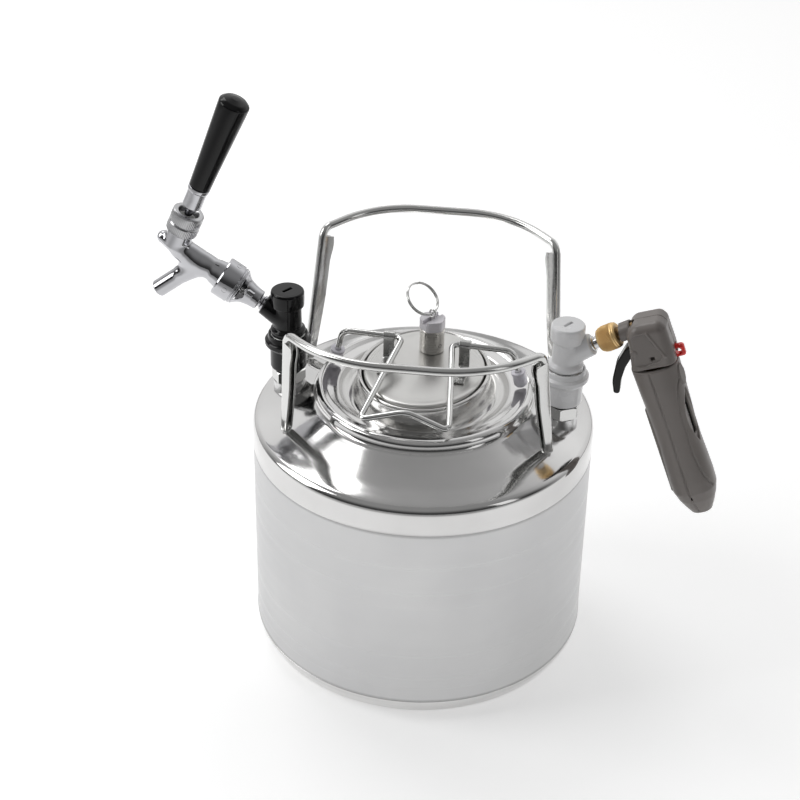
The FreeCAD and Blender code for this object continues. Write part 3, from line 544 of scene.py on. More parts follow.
# ---- vessel ----
def ring_rows(name, rows, mat, body, nodes=(), seg=288, sharp=40.0, fill=False):
    """Rows of (half x, half y, z, dip): ovals about the keg's axis; dip sinks a row most towards +-X."""
    points = []
    for row in rows:
        a, b, z = row[:3]
        dip = row[3] if len(row) > 3 else 0.0
        for k in range(seg):
            t = 2 * math.pi * k / seg
            c, s = math.cos(t), math.sin(t)
            points.append((a * c, b * s, z - dip * (0.35 + 0.65 * c * c)))
    faces = quads(len(rows), seg)
    if fill:
        points.append((0, 0, rows[-1][2]))
        last = (len(rows) - 1) * seg
        faces += [(last + k, last + (k + 1) % seg, len(points) - 1) for k in range(seg)]
    return make(name, points, faces, mat, body, nodes, None, sharp)


def smooth_line(points, each=6):
    """Smooth line through the points."""
    out = []
    for i in range(len(points) - 1):
        p = [Vector(points[max(0, min(len(points) - 1, i + k))]) for k in (-1, 0, 1, 2)]
        for k in range(each):
            t = k / each
            out.append(0.5 * (2 * p[1] + (p[2] - p[0]) * t + (2 * p[0] - 5 * p[1] + 4 * p[2] - p[3]) * t * t
                              + (3 * p[1] - 3 * p[2] + p[3] - p[0]) * t ** 3))
    out.append(Vector(points[-1]))
    return out


def vessel():
    """Wall, base, top dome, and the moat and neck of the mouth."""
    wall = [(108.8, 16.1), (109.75, 16.1), (109.95, 15.9, 0.3), (109.95, 17.2, 0.5), (109.7, 18.2, 0.6),
            (109.7, 70.0), (109.7, 146.0, 0.6), (109.95, 147.0, 0.5), (109.95, 148.0, 0.2), (108.8, 148.0)]
    lathe("wall_skin", wall, WALL, "root", ["keg_wall"], seg=288)
    base = [(0.01, 9.0), (73.5, 5.1, 4.0), (82.0, 0.0, 6.0), (95.0, 0.0, 9.0), (105.8, 4.2, 9.0),
            (109.8, 13.0, 6.0), (109.95, 15.9, 0.3), (108.8, 15.9), (104.5, 5.8, 8.0), (95.0, 1.2, 8.0),
            (82.5, 1.2, 5.0), (74.5, 6.2, 4.0), (0.01, 10.2)]
    lathe("base_dome", base, DOME, "root", ["keg_bottom_dome"], seg=288, sharp=50)
    side = smooth_line([(109.95, 148.0), (109.78, 149.4), (109.75, 152.0), (109.9, 157.0), (109.9, 161.0),
                        (109.7, 163.4), (108.9, 165.4), (107.4, 166.9), (105.6, 167.8), (100.0, 169.7),
                        (95.0, 171.4), (90.0, 173.3), (84.0, 175.7), (79.0, 177.8), (74.5, 179.8), (72.0, 181.0),
                        (70.5, 182.3), (69.8, 184.0), (69.5, 185.6), (68.8, 187.0), (67.4, 188.0),
                        (65.6, 188.3), (63.9, 187.9), (61.8, 187.3), (58.0, 187.1), (55.6, 186.9)])
    ring_rows("dome_skin", [(r, r, z) for r, z in side], DOME, "root", ["keg_top_dome"])
    last_r, last_z = side[-1]
    rows = [(last_r, last_r, last_z)]
    moat = [(0.0, 186.5, 0.0), (0.06, 185.9, 0.5), (0.18, 185.2, 1.7), (0.34, 184.7, 2.4), (0.52, 184.5, 2.6),
            (0.70, 184.7, 2.3), (0.84, 185.4, 1.6), (0.94, 186.5, 0.7), (0.99, 188.0, 0.2)]
    outer, mouth_x, mouth_y = 54.6, 42.35, 50.35
    for f, z, dip in smooth_line(moat, 4):
        rows.append((outer + (mouth_x - outer) * f, outer + (mouth_y - outer) * f, z, dip))
    neck = [(0.0, 189.5), (0.0, 197.3), (-0.1, 198.1), (-0.4, 198.8), (-0.9, 199.25), (-1.5, 199.4),
            (-2.1, 199.25), (-2.6, 198.8), (-2.9, 198.1), (-3.0, 197.3), (-3.0, 178.2), (4.0, 178.2)]
    rows += [(42.3 + e, 50.3 + e, z) for e, z in neck]
    ring_rows("mouth_skin", rows, MOUTH, "root", ["lid_mouth_ring"])


# ---- handles ----
TURN = Matrix.Rotation(math.radians(5), 4, "Z")


def leg_section(z, length):
    """Channel section of a leg at height z."""
    depth = 3.7 + 2.6 * min(1, max(0, (z - 3.2) / 38.8))
    depth += 1.4 * max(0, min(1, (z - length + 15) / 8)) * (1 if z < length - 3 else 0.6)
    tip = math.sqrt(max(0.02, 1 - max(0, (3.4 - z) / 3.4) ** 2))
    half = 2.7 * (0.55 + 0.45 * tip)
    web, inner = -2.7, 1.4 * min(1, half / 2.7)
    shape = rounded([(depth, -half, 0.35), (web, -half, 1.9), (web, half, 1.9), (depth, half, 0.35),
                     (depth, inner, 0.3), (web + 1.3, inner, 0.8), (web + 1.3, -inner, 0.8),
                     (depth, -inner, 0.3)], True, 4)
    return [(0.5 + (x - 0.5) * tip, y, z) for x, y in shape]


def handle(name, side, foot_y, corner_y, mid_y, mid_z):
    """Loop handle: a bent bar on two channel legs with weld beads."""
    foot = Vector((82.5, side * foot_y, 173.2))
    corner = Vector((76.3, side * corner_y, 254.6))
    knee = Vector((45.0, side * mid_y, mid_z))
    flip = Matrix.Scale(-1, 3, Vector((1, 0, 0)))
    low = corner + (foot - corner).normalized() * 13.0
    line = bent([low, corner, knee, flip @ knee, flip @ corner, flip @ low], [8, 70, 70, 8], 14)
    wire(name + "_bar", [TURN @ p for p in line], 2.68, HANDLE, "root", [name], res=8)
    axis = (corner - foot).normalized()
    inward = (knee - corner).normalized()
    inward = (inward - axis * inward.dot(axis)).normalized()
    lateral = axis.cross(inward)
    length = (corner - foot).length - 5.0
    heights = [0.0, 0.25, 0.8, 1.6, 2.6, 4.0, 10, 20, 32, 44, 56, length - 16, length - 12, length - 8,
               length - 4, length - 1.5, length]
    sections = [leg_section(z, length) for z in heights]
    count = len(sections[0])
    for tag, mirrored in (("right", 1), ("left", -1)):
        points = []
        for row in sections:
            for x, y, z in row:
                p = foot + inward * x + lateral * y + axis * z
                points.append(TURN @ Vector((p.x * mirrored, p.y, p.z)))
        faces = quads(len(sections), count)
        faces += [tuple(range(count)), tuple((len(sections) - 1) * count + k for k in reversed(range(count)))]
        make(name + "_leg_" + tag, points, faces, HANDLE, "root", (), None, 35)
        bead = []
        for k in range(20):
            t = 2 * math.pi * k / 20
            q = foot + inward * (0.4 + 3.6 * math.cos(t)) * 0.9 + lateral * 2.75 * math.sin(t) + axis * 0.1
            q += Vector((0, 0, 0.2))
            bead.append(TURN @ Vector((mirrored * q.x, q.y, q.z)))
        wire(name + "_weld_" + tag, bead, 0.75, HANDLE, "root", (), True, 3)


# ---- lid ----
def lid():
    """Oval lid plate with the two straps that hold the bail."""
    rim = [(0.9, 174.4), (0.9, 197.6), (0.98, 198.7), (1.25, 199.4), (1.7, 199.9), (2.3, 200.15), (3.2, 200.2),
           (5.0, 200.15), (6.0, 200.05), (7.0, 200.0)]
    rows = [(39.3 - e, 47.3 - e, z) for e, z in rim]
    rows += [(32.3 * f, 40.3 * f, 200.0 + 0.12 * (1 - f)) for f in (0.85, 0.6, 0.35, 0.1, 0.02)]
    ring_rows("lid_skin", rows, LID, "lid", ["lid_plate"], fill=True, sharp=50)
    for tag, x in (("left", -24.5), ("right", 24.5)):
        arc = [(BAIL_PIVOT[0] + 2.78 * math.cos(t), BAIL_PIVOT[1] + 2.78 * math.sin(t))
               for t in [math.pi - k * math.radians(300) / 22 for k in range(23)]]
        line = [(-15.0, 200.8), (-9.0, 200.8), (1.9, 200.8), (3.4, 201.1), (4.3, 202.0), (4.72, 203.4),
                (4.72, 209.0)] + arc
        strap(tag, x, line)
        for y in (-11.2, -5.6):
            dome = [(0.01, 0.75), (0.9, 0.62), (1.7, 0.3), (2.0, 0.0), (0.01, 0.0)]
            lathe("weld_bump_%s_%d" % (tag, -y), dome, STRAP, "lid", (),
                  Matrix.Translation((x, y, 201.42)), 24, sharp=60)


def strap(tag, x, line):
    """Steel strap bent along a line in YZ."""
    pts = [Vector(p) for p in line]
    sides = ([], [])
    for i, p in enumerate(pts):
        d = (pts[min(i + 1, len(pts) - 1)] - pts[max(i - 1, 0)]).normalized()
        n = Vector((-d.y, d.x)) * 0.6
        sides[0].append(p + n)
        sides[1].append(p - n)
    loop = sides[0] + sides[1][::-1]
    count = len(loop)
    points = [(x + dx, q.x, q.y) for dx in (-3.5, 3.5) for q in loop]
    faces = quads(2, count)
    half = count // 2
    for base in (0, count):
        for k in range(half - 1):
            faces.append((base + k, base + k + 1, base + count - 2 - k, base + count - 1 - k))
    obj = make("bracket_" + tag, points, faces, STRAP, "lid", ["bail_brackets"] if tag == "left" else (),
               None, 35)
    bevel(obj, 0.22, 30)


def bail():
    """Wire bail through the straps, with a soft cap on each foot."""
    pivot_y, pivot_z = BAIL_PIVOT
    foot, shoulder = (61.0, 10.0, 190.5), (55.5, pivot_y, pivot_z)
    right = [foot, shoulder, (16.0, pivot_y, pivot_z), (28.0, -63.5, 196.6)]
    left = [(-p[0], p[1], p[2]) for p in reversed(right)]
    line = bent(right + [(0, -57.0, 202.2)] + left, [7, 4, 3, 20, 3, 4, 7], 10)
    wire("bail_wire", line, 1.98, WIRE, "bail", ["lid_bail"], res=8)
    cap = [(0.01, -1.4), (2.2, -1.4, 1.0), (4.35, 0.4, 2.2), (4.35, 8.6, 0.2), (4.7, 9.0, 0.2), (4.7, 10.2, 0.4),
           (2.05, 10.2, 0.3), (2.05, 0.0), (0.01, 0.0)]
    for tag, s in (("left", -1), ("right", 1)):
        base = Vector((s * foot[0], *foot[1:]))
        up = Vector((s * shoulder[0], *shoulder[1:])) - base
        lathe("foot_cap_" + tag, cap, LILAC, "bail", ["bail_feet"] if s < 0 else (),
              aim(base, up), 48)


def relief_valve():
    """Valve body with a vent hole drawn as a near-black cup of painted shade, and the split pull ring."""
    body = [(4.6, 200.3), (8.0, 200.3, 0.3), (8.0, 216.2, 0.5), (7.5, 216.7, 0.2), (6.3, 216.7), (6.3, 212.0),
            (4.6, 212.0)]
    lathe("valve_body", body, VALVE, "lid", ["prv_body"],
          Matrix.Translation((0, VALVE_Y, 0)), 96)
    # The vent hole is a shallow near-black cup in the valve's solid skin: painted shade.
    vent = [(0.01, 0.0), (0.9, 0.0), (1.25, 0.5, 0.2), (1.35, 1.4, 0.2), (1.1, 1.45), (1.05, 0.6), (0.01, 0.3)]
    out = Vector((9.0, -7.0, 0)).normalized()
    lathe("vent_hole_shade", vent, HOLE_SHADE, "lid", (),
          aim(Vector((0, VALVE_Y, 206)) + out * 6.62, out), 24)
    finish_node("prv_cap", CAPGREY, 0.35)
    finish_node("prv_stem", WIRE)
    azimuth, lean = math.radians(62), math.radians(49)
    axis = Vector((math.cos(azimuth), math.sin(azimuth), 0))
    upright = Vector((0, 0, 1))
    offset = (upright.cross(axis) * math.sin(lean) + upright * math.cos(lean)) * RING_RADIUS
    place = aim(RING_PIVOT + offset, axis.cross(offset.normalized()))
    turns, count = 2.0, 120
    line = []
    for k in range(count + 1):
        t = 2 * math.pi * turns * k / count + 2.2
        z = -0.62 + 1.24 * min(1, max(0, (k / count - 0.42) / 0.16))
        line.append(place @ Vector((RING_RADIUS * math.cos(t), RING_RADIUS * math.sin(t), z)))
    wire("pull_ring", line, 0.6, WIRE, "prv_ring", ["prv_ring"], res=5)


# ---- disconnects ----
def disconnect(side, name, mat, flare_mat):
    """Ball-lock disconnect with its collar and flare fitting."""
    post_x = side * POST_X
    root = np.array((post_x, 0, ARM_Z))
    axis = np.array((side * ARM_LEAN[0], 0, ARM_LEAN[1]))
    centre = np.array((post_x, 0, 0.0))
    barrel = rounded([(3.4, 207.6), (8.4, 207.2), (8.4, 188.2), (9.8, 188.2, 0.3), (9.8, 208.2, 0.8),
                      (8.6, 210.4, 0.8), (8.6, 213.8, 0.6), (11.2, 214.2, 0.4), (11.2, 216.8, 0.8),
                      (9.0, 218.6, 1.2), (8.7, 232.0, 4.0), (8.7, 240.2), (3.4, 240.2)])

    def field(p):
        q = p - centre
        d = outline2(from_axis(q), q[..., 2], barrel)
        arm = drum(p, root + axis * 1, root + axis * 18.15, 8.6, 0.7, 6.9)
        arm = np.maximum(arm, 214.4 - p[..., 2])
        arm = np.maximum(arm, 3.4 - from_axis(q))
        d = join(d, arm, 1.6)
        return carve(d, drum(p, root + axis * 4.5, root + axis * 30, 4.3, 0.1), 0.3)

    lo = (min(post_x - 12, side * 112), -12.0, 187.4)
    hi = (max(post_x + 12, side * 112), 12.0, 241.2)
    body = name + "_disconnect"
    solid(name + "_body", field, lo, hi, 0.55, mat, body, [body + "_body"])
    cap_line = rounded([(0.01, 244.35), (3.0, 244.4), (8.4, 244.4, 0.2), (8.7, 244.2, 0.2), (9.0, 244.45, 0.4),
                        (10.2, 244.3, 1.2), (10.75, 243.0, 1.0), (10.75, 237.6, 0.3), (10.6, 234.0, 0.6),
                        (10.2, 233.5, 0.4), (8.9, 233.5), (8.9, 240.8), (0.01, 240.8)])
    slot_turn = math.radians(57)
    u = np.array((math.cos(slot_turn), math.sin(slot_turn), 0.0))
    w = np.array((-math.sin(slot_turn), math.cos(slot_turn), 0.0))

    def cap_field(p):
        q = p - centre
        d = outline2(from_axis(q), q[..., 2], cap_line)
        local = np.stack([q @ u, q @ w, q[..., 2]], axis=-1)
        d = carve(d, block(local, (-3.8, -0.95, 242.6), (3.8, 0.95, 247), 0.15), 0.25)
        return carve(d, drum(p, root, root + axis * 30, 7.2, 0.1), 0.4)

    solid(name + "_cap", cap_field, (post_x - 11.4, -11.4, 232.8), (post_x + 11.4, 11.4, 245.2), 0.42,
          mat, body, [body + "_cap"])
    ring = [(10.15, 189.4), (11.4, 189.4, 0.3), (11.7, 190.2, 0.4), (11.7, 203.0, 1.4), (12.6, 204.8, 1.0),
            (14.6, 205.7, 0.5), (15.0, 206.5, 0.4), (15.0, 208.9, 0.5), (14.2, 209.7, 0.5), (13.1, 210.2, 0.5),
            (12.7, 213.6, 0.5), (11.6, 213.6, 0.3), (11.6, 208.2, 0.5), (10.15, 206.9)]
    lathe(name + "_collar_ring", ring, mat, name + "_collar", [name + "_release_collar"],
          Matrix.Translation(tuple(centre)), 96)
    flare = [(1.8, 8.0), (3.7, 8.0), (3.7, 18.0), (5.0, 18.0, 0.2), (5.0, 19.5, 0.3), (3.9, 20.0, 0.3),
             (3.8, 25.4, 0.2), (2.5, 27.0, 0.2), (1.8, 27.0)]
    lathe(name + "_flare", flare, flare_mat, body, [name + "_flare_fitting"], aim(root, axis), 64)


# ---- faucet ----
def faucet():
    """Tap on the liquid arm, from the adapter to the handle."""
    arm = aim(LIQ_ROOT, LIQ_AXIS)
    lever = aim(LEVER_ROOT, LEVER_AXIS)
    horn = [(2.6, 21.5), (6.2, 21.5, 0.4), (6.6, 22.2, 0.3), (6.6, 23.8, 0.6), (6.9, 27.0, 6.0), (8.3, 32.4, 8.0),
            (11.2, 35.8, 2.0), (12.3, 36.8, 0.6), (12.3, 37.4, 0.2), (10.9, 37.4), (10.9, 44.0), (2.6, 44.0)]
    lathe("horn", horn, CHROME, "liquid_disconnect", ["faucet_adapter"], arm, 128, steps=8)
    nut = [(11.0, 37.6), (12.2, 37.6, 0.3), (12.6, 38.1, 0.3), (12.6, 38.9, 0.3), (12.25, 39.2, 0.2),
           (12.25, 39.5, 0.2), (13.0, 39.8, 0.3), (13.0, 50.0, 0.4), (12.3, 51.0, 0.4), (7.9, 51.0, 0.2),
           (7.9, 49.4), (11.0, 49.4)]
    lathe("nut_shell", nut, CHROME, "coupling_nut", ["coupling_nut"], arm, 128)
    # Spanner holes are shallow near-black cups in the nut's solid skin: painted shade.
    hole = [(0.01, 0.0), (1.5, 0.0), (1.5, 0.5, 0.2), (1.75, 0.62, 0.1), (1.75, 0.05), (1.6, -0.3), (0.01, -0.3)]
    for k in range(4):
        a = math.pi / 2 * k
        spot = arm @ Vector((12.42 * math.cos(a), 12.42 * math.sin(a), 44.2))
        out = arm.to_3x3() @ Vector((math.cos(a), math.sin(a), 0))
        lathe("spanner_hole_shade_%d" % k, hole, HOLE_SHADE, "coupling_nut", (), aim(spot, out), 32)
    root, axis = np.array(LIQ_ROOT), np.array(LIQ_AXIS)
    lroot, laxis = np.array(LEVER_ROOT), np.array(LEVER_AXIS)
    tip = np.array(SPOUT_TIP)

    def at(s):
        return root + axis * s

    inner = at(66.0)
    down = (tip - inner) / np.linalg.norm(tip - inner)

    def body(p):
        d = drum(p, at(49.2), at(56.0), 9.6, 1.0, 7.3)
        d = join(d, capsule(p, at(54.0), at(80.0), 7.3), 3.0)
        d = join(d, capsule(p, at(80.0), at(93.8), 6.6, 4.3), 2.0)
        d = join(d, drum(p, lroot, lroot + laxis * 14.0, 8.3, 0.4), 2.6)
        d = join(d, drum(p, inner, tip, 5.7, 0.5), 6.0)
        d = join(d, capsule(p, at(62.0), inner + down * 14, 5.0, 5.0), 4.0)
        d = join(d, capsule(p, at(76.0), inner + down * 10, 4.2, 4.6), 4.0)
        d = np.maximum(d, (p - tip) @ down)
        d = carve(d, drum(p, tip - down * 22, tip + down * 4, 4.0, 0.1), 0.25)
        return carve(d, drum(p, lroot + laxis * 6.0, lroot + laxis * 20, 6.7, 0.1))

    solid("faucet_casting", body, (-187, -11, 227), (-126, 11, 286), 0.6, CHROME, "liquid_disconnect",
          ["faucet_body"])

    def knurl(a, z, r):
        band = r >= 10.0 and (12.4 < z < 17.4 or 19.4 < z < 25.4)
        return 0.14 * math.cos(56 * a) if band else 0.0

    lines = [(8.35, 11.4), (9.6, 11.4, 0.2), (10.15, 12.1), (10.1, 12.4), (10.1, 14.0), (10.1, 17.4), (9.7, 17.9),
             (9.5, 18.4), (9.7, 18.9), (10.1, 19.4), (10.1, 22.0), (10.1, 25.4), (10.05, 25.7), (9.3, 26.4, 0.3),
             (7.0, 26.4, 0.3), (5.5, 22.4), (6.2, 22.4), (6.2, 14.4), (8.35, 14.4)]
    lathe("bonnet_shell", lines, SATIN, "liquid_disconnect", ["faucet_bonnet"], lever, 448,
          wave=knurl)
    stem = [(0.01, -1.7), (1.3, -1.7, 0.5), (1.7, -1.0), (1.7, 11.4), (2.0, 12.8), (3.6, 14.4), (4.4, 17.0, 2.5),
            (3.6, 19.8), (2.5, 21.4), (2.5, 46.0), (0.01, 46.0)]
    lathe("lever_stem", stem, LEVER, "tap_lever", ["faucet_lever"], lever, 64)
    ferrule = [(2.55, 31.0), (5.4, 31.0, 0.4), (6.3, 31.8, 0.5), (6.2, 38.0, 6.0), (6.3, 43.2, 0.4),
               (6.9, 44.0, 0.4), (6.9, 46.2, 0.3), (2.55, 46.2)]
    lathe("ferrule_shell", ferrule, LEVER, "tap_lever", ["handle_ferrule"], lever, 96)
    grip = [(0.01, 46.4), (6.2, 46.4, 0.3), (6.9, 47.2, 0.5), (7.5, 62.0, 30.0), (9.6, 104.0, 12.0),
            (9.75, 109.3, 1.6), (7.4, 111.4, 3.0), (2.6, 112.7, 4.0), (0.01, 112.9)]
    lathe("tap_grip", grip, BLACK, "tap_lever", ["tap_handle"], lever, 128, sharp=50,
          steps=8)


# ---- charger ----
TILT = math.radians(SLEEVE_TILT)
SIDE = Vector((math.cos(TILT), 0, math.sin(TILT)))
DOWN = Vector((math.sin(TILT), 0, -math.cos(TILT)))
DEPTH = DOWN.cross(SIDE)
GRIP = Matrix((*((SIDE[i], DEPTH[i], DOWN[i], SLEEVE_TOP[i]) for i in range(3)), (0, 0, 0, 1)))
TO_GRIP = GRIP.inverted()
FRONT = -1 if (TO_GRIP.to_3x3() @ Vector((0, 1, 0))).y > 0 else 1  # sign of the grip's Y towards the camera
SKIN_Z = np.array([0.0, 14.0, 28.0, 42.0, 56.0, 70.0, 82.0, 90.0, 97.0, 103.0, 109.0])
SKIN_X = np.array([15.0, 14.6, 14.0, 13.4, 13.4, 14.0, 14.4, 14.2, 12.2, 9.6, 6.6])
SKIN_Y = np.array([13.8, 13.5, 13.0, 12.6, 12.6, 13.0, 13.3, 13.1, 11.3, 8.9, 6.2])
SKIN_POWER = 2.35
FEATURE_LEAN = math.radians(15)


def charger_metal():
    """Knurled nut, and the brass valve inside the head."""
    def knurl(a, z, r):
        if r <= 7.4 or not 25.1 < z < 33.4:
            return 0.0
        return 0.26 * math.cos(32 * a + 5.2 * z) * math.cos(32 * a - 5.2 * z)

    arm = aim(GAS_ROOT, GAS_AXIS)
    rows = [(7.5 + 0.65 * min(1, (z - 25.0) / 2.5), z) for z in np.arange(25.1, 33.4, 0.12)]
    nut = [(3.9, 23.4), (6.1, 23.4, 0.3), (7.0, 23.9, 0.5), (7.5, 24.9)] + rows + [
        (8.25, 33.7), (8.25, 34.4, 0.2), (7.9, 34.8, 0.2), (7.9, 35.6, 0.3), (7.0, 36.4, 0.5), (4.2, 36.4),
        (4.2, 31.2), (6.3, 31.2), (6.3, 27.2), (3.9, 27.2)]
    lathe("brass_nut", nut, BRASS, "charger_nut", ["charger_nut"], arm, 480, wave=knurl)
    stub = [(0.01, 27.7), (5.9, 27.7, 0.2), (5.9, 30.8, 0.2), (4.0, 31.0), (4.0, 47.5, 0.3), (0.01, 47.5)]
    lathe("valve_stub", stub, DARK_BRASS, "gas_disconnect", ["charger_valve_block"], arm, 64)
    neck = [(0.01, -27.0), (4.5, -27.0, 0.4), (4.5, -5.0, 0.2), (7.6, -5.0, 0.3), (7.6, 6.8, 0.3), (5.2, 7.0),
            (5.2, 2.0), (0.01, 2.0)]
    lathe("valve_neck", neck, DARK_BRASS, "gas_disconnect", (), GRIP, 64)


def charger_head():
    """Hollow head in two halves."""
    outline = rounded([(-14.6, 8.0, 0.5), (-13.9, -2.0, 4.0), (-10.7, -20.0, 4.0), (-10.2, -28.0, 6.0),
                       (-5.2, -34.4, 7.0), (12.2, -34.2, 5.0), (15.1, -29.6, 4.0), (15.4, -12.0, 4.0),
                       (14.6, 8.0, 0.5)], True, 6)
    panel = rounded([(-12.0, -10.6, 1.0), (-9.4, -23.0, 3.0), (-4.8, -29.2, 3.0), (2.2, -29.6, 2.0),
                     (8.9, -12.6, 3.0), (6.5, -8.8, 2.5), (-3.0, -7.4, 6.0), (-12.0, -8.2, 1.0)], True, 6)
    arm = np.array(TO_GRIP @ Vector(GAS_ROOT))
    arm_way = np.array(GRIP.to_3x3().inverted() @ Vector(GAS_AXIS))
    pin = np.array(TO_GRIP @ Vector(TRIGGER_PIVOT))

    def half(sign):
        def field(p):
            d = slab(p, outline, 12.6, 6.0)
            d = join(d, drum(p, arm + arm_way * 36.9, arm + arm_way * 46, 6.0, 0.7), 0.8)
            d = -join(-d, -(p[..., 2] + 4.9), 0.5)
            inner = outline2(p[..., 0], p[..., 2], outline)
            d = np.maximum(d, -np.maximum(inner + 4.2, np.abs(p[..., 1]) - 8.6))
            recess = np.maximum(outline2(p[..., 0], p[..., 2], panel), 11.5 - np.abs(p[..., 1]))
            d = carve(d, recess, 0.4)
            d = join(d, drum(p, pin - (0, 11.85, 0), pin + (0, 11.85, 0), 2.2, 0.3), 0.4)
            d = join(d, capsule(p, (3.4, 12.3 * sign, -29.6), (10.3, 12.3 * sign, -11.4), 0.8), 0.4)
            trigger_mouth = block(p, (-20, -5.2, -23.0), (-6, 5.2, 1.0), 0.4)
            latch_slot = block(p, (8, -3.1, -12.8), (20, 3.1, -3.2), 0.4)
            d = carve(carve(d, trigger_mouth, 0.3), latch_slot, 0.3)
            d = carve(d, drum(p, arm + arm_way * 30, arm + arm_way * 49, 4.6, 0.1), 0.2)
            if sign == FRONT:
                d = carve(d, block(p, (0.8, 9.0, -12.4), (3.4, 20, -9.8), 0.2), 0.15)
            return np.maximum(d, 0.05 - sign * p[..., 1])
        return field

    for tag, sign in (("front", FRONT), ("rear", -FRONT)):
        lo = (-15.0, -0.6 if sign > 0 else -13.8, -39.4)
        hi = (16.4, 13.2 if sign > 0 else 0.6, -0.8)
        solid("head_" + tag, half(sign), lo, hi, 0.55, TAUPE, "gas_disconnect", ["charger_head_" + tag],
              GRIP)


def skin_size(z):
    """Half widths of the sleeve at depth z."""
    return np.interp(z, SKIN_Z, SKIN_X), np.interp(z, SKIN_Z, SKIN_Y)


def skin_point(turn, z):
    """Point on the sleeve's skin; turn is in degrees from +X towards the camera."""
    a, b = skin_size(z)
    c, s = math.cos(math.radians(turn)), math.sin(math.radians(turn))
    r = (abs(c / a) ** SKIN_POWER + abs(s / b) ** SKIN_POWER) ** (-1 / SKIN_POWER)
    return r * c, FRONT * r * s, z


def oval_pad(p, x0, x1, z0, r, half_z):
    """Raised oval pad facing +X."""
    ring = np.sqrt((p[..., 1] / r) ** 2 + ((p[..., 2] - z0) / half_z) ** 2) - 1
    return np.maximum(ring * r, np.maximum(x0 - 4 - p[..., 0], p[..., 0] - x1))


def grip_sleeve():
    """Cartridge sleeve with its pad, leaf-shaped scoop, slot, seam and edge line."""
    seam = ((100, -2), (100, 20), (100, 40), (100, 55), (100, 70), (100, 88), (99, 97), (98, 106))
    edge = ((30, 8), (40, 11), (46, 16), (50, 22), (53, 29), (54, 37), (53, 45), (55, 53), (55, 61), (52, 69),
            (47, 77), (39, 83), (28, 88))
    grooves = [[skin_point(turn, z) for turn, z in line] for line in (seam, edge)]

    def field(p):
        x, y, z = p[..., 0], p[..., 1], p[..., 2]
        a, b = skin_size(z)
        cos_lean, sin_lean = math.cos(FEATURE_LEAN), math.sin(FEATURE_LEAN)
        q = np.stack([x * cos_lean + y * FRONT * sin_lean, y * cos_lean - x * FRONT * sin_lean, z], -1)
        round_off = (np.abs(x / a) ** SKIN_POWER + np.abs(y / b) ** SKIN_POWER) ** (1 / SKIN_POWER)
        d = (round_off - 1) * np.minimum(a, b)
        d = join(d, block(p, (-14.75, -4.6, 27.0), (-8, 4.6, 90.0), 1.0), 0.4)
        d = -join(-d, -(np.abs(z - 52.7) - 55.9), 0.8)
        d = join(d, oval_pad(q, 13.0, 15.9, 6.8, 3.6, 7.6), 0.4)
        leaf = np.abs(q[..., 1]) - 5.6 * np.sin(np.clip((z - 16.0) / 40.0, 0, 1) * math.pi) ** 0.8
        bowl = np.maximum(leaf, np.maximum(16.0 - z, z - 56.0))
        d = carve(d, np.maximum(bowl, 12.4 - q[..., 0]), 0.5)
        d = carve(d, block(q, (8.5, -2.3, 21.0), (20, 2.3, 50.0), 1.0), 0.4)
        for line in grooves:
            for s, e in zip(line, line[1:]):
                d = carve(d, capsule(p, s, e, 0.62), 0.1)
        return carve(d, drum(p, (0, 0, -4), (0, 0, 95), 11.25, 0.2))

    solid("grip_sleeve", field, (-16.2, -14.6, -4.0), (17.0, 14.6, 110.0), 0.62, TAUPE, "sleeve",
          ["cartridge_sleeve"], GRIP)


def trigger_blade():
    """Curved trigger with a finger groove down its face."""
    x, _, z = TRIGGER_PIVOT
    blade = rounded([(130.8, 238.3, 1.5), (125.6, 234.0, 6.0), (120.8, 222.5, 20.0), (119.4, 210.0, 20.0),
                     (121.0, 201.2, 1.8), (124.8, 201.2, 1.8), (124.9, 211.0, 14.0), (126.9, 220.8, 10.0),
                     (130.0, 228.2, 8.0), (134.0, 233.2, 1.5)], True, 6)
    face = [(122.2, 205.0), (121.2, 214.0), (124.0, 225.0), (119.0, 225.0), (114.0, 210.0), (119.8, 203.0)]

    def field(p):
        d = slab(p, blade, 4.5, 1.2)
        d = join(d, drum(p, (x, -4.5, z), (x, 4.5, z), 3.2, 0.4), 0.8)
        front = p[..., 0] - 120.6 - np.maximum(0, p[..., 2] - 214) * 0.36
        return carve(d, np.maximum(slab(p, face, 2.6, 0.5), front), 0.5)

    solid("trigger_blade", field, (117.5, -5.4, 199.5), (136, 5.4, 240), 0.5, TRIGGER, "trigger",
          ["charger_trigger"])


def latch_loop():
    """Safety latch with its finger hole and notch."""
    def field(p):
        d = block(p, (11.0, -2.4, -12.2), (20.6, 2.4, -3.8), 1.9)
        d = carve(d, drum(p, (16.4, -6, -8.0), (16.4, 6, -8.0), 2.1, 0.1), 0.8)
        d = carve(d, drum(p, (13.2, -6, -3.4), (13.2, 6, -3.4), 0.9, 0.1), 0.3)
        return join(d, block(p, (6.6, -1.8, -9.6), (12.0, 1.8, -6.4), 0.4), 0.6)

    solid("latch_loop", field, (6.0, -3.2, -13.0), (21.4, 3.2, -3.0), 0.35, RED, "safety_latch",
          ["safety_latch"], GRIP)


def carried_over():
    """CAD nodes whose shape is right, with their finish."""
    plain = (
        (SHELL, "post_bungs"),
        (RUBBER, "post_seals lid_gasket coupling_washer faucet_seat_washer cartridge_gasket"),
        (WHITE, "faucet_ball_washer liquid_plunger gas_plunger"),
        (INNER, "dip_tubes post_poppets poppet_springs prv_locknut prv_spring faucet_shaft charger_trigger_pin "
                "charger_piercer charger_valve_pin co2_cartridge liquid_disconnect_springs liquid_lock_balls "
                "gas_disconnect_springs gas_lock_balls"))
    for mat, names in plain:
        for name in names.split():
            finish_node(name, mat)
    finish_node("posts", LIQ_POST, 0.3)


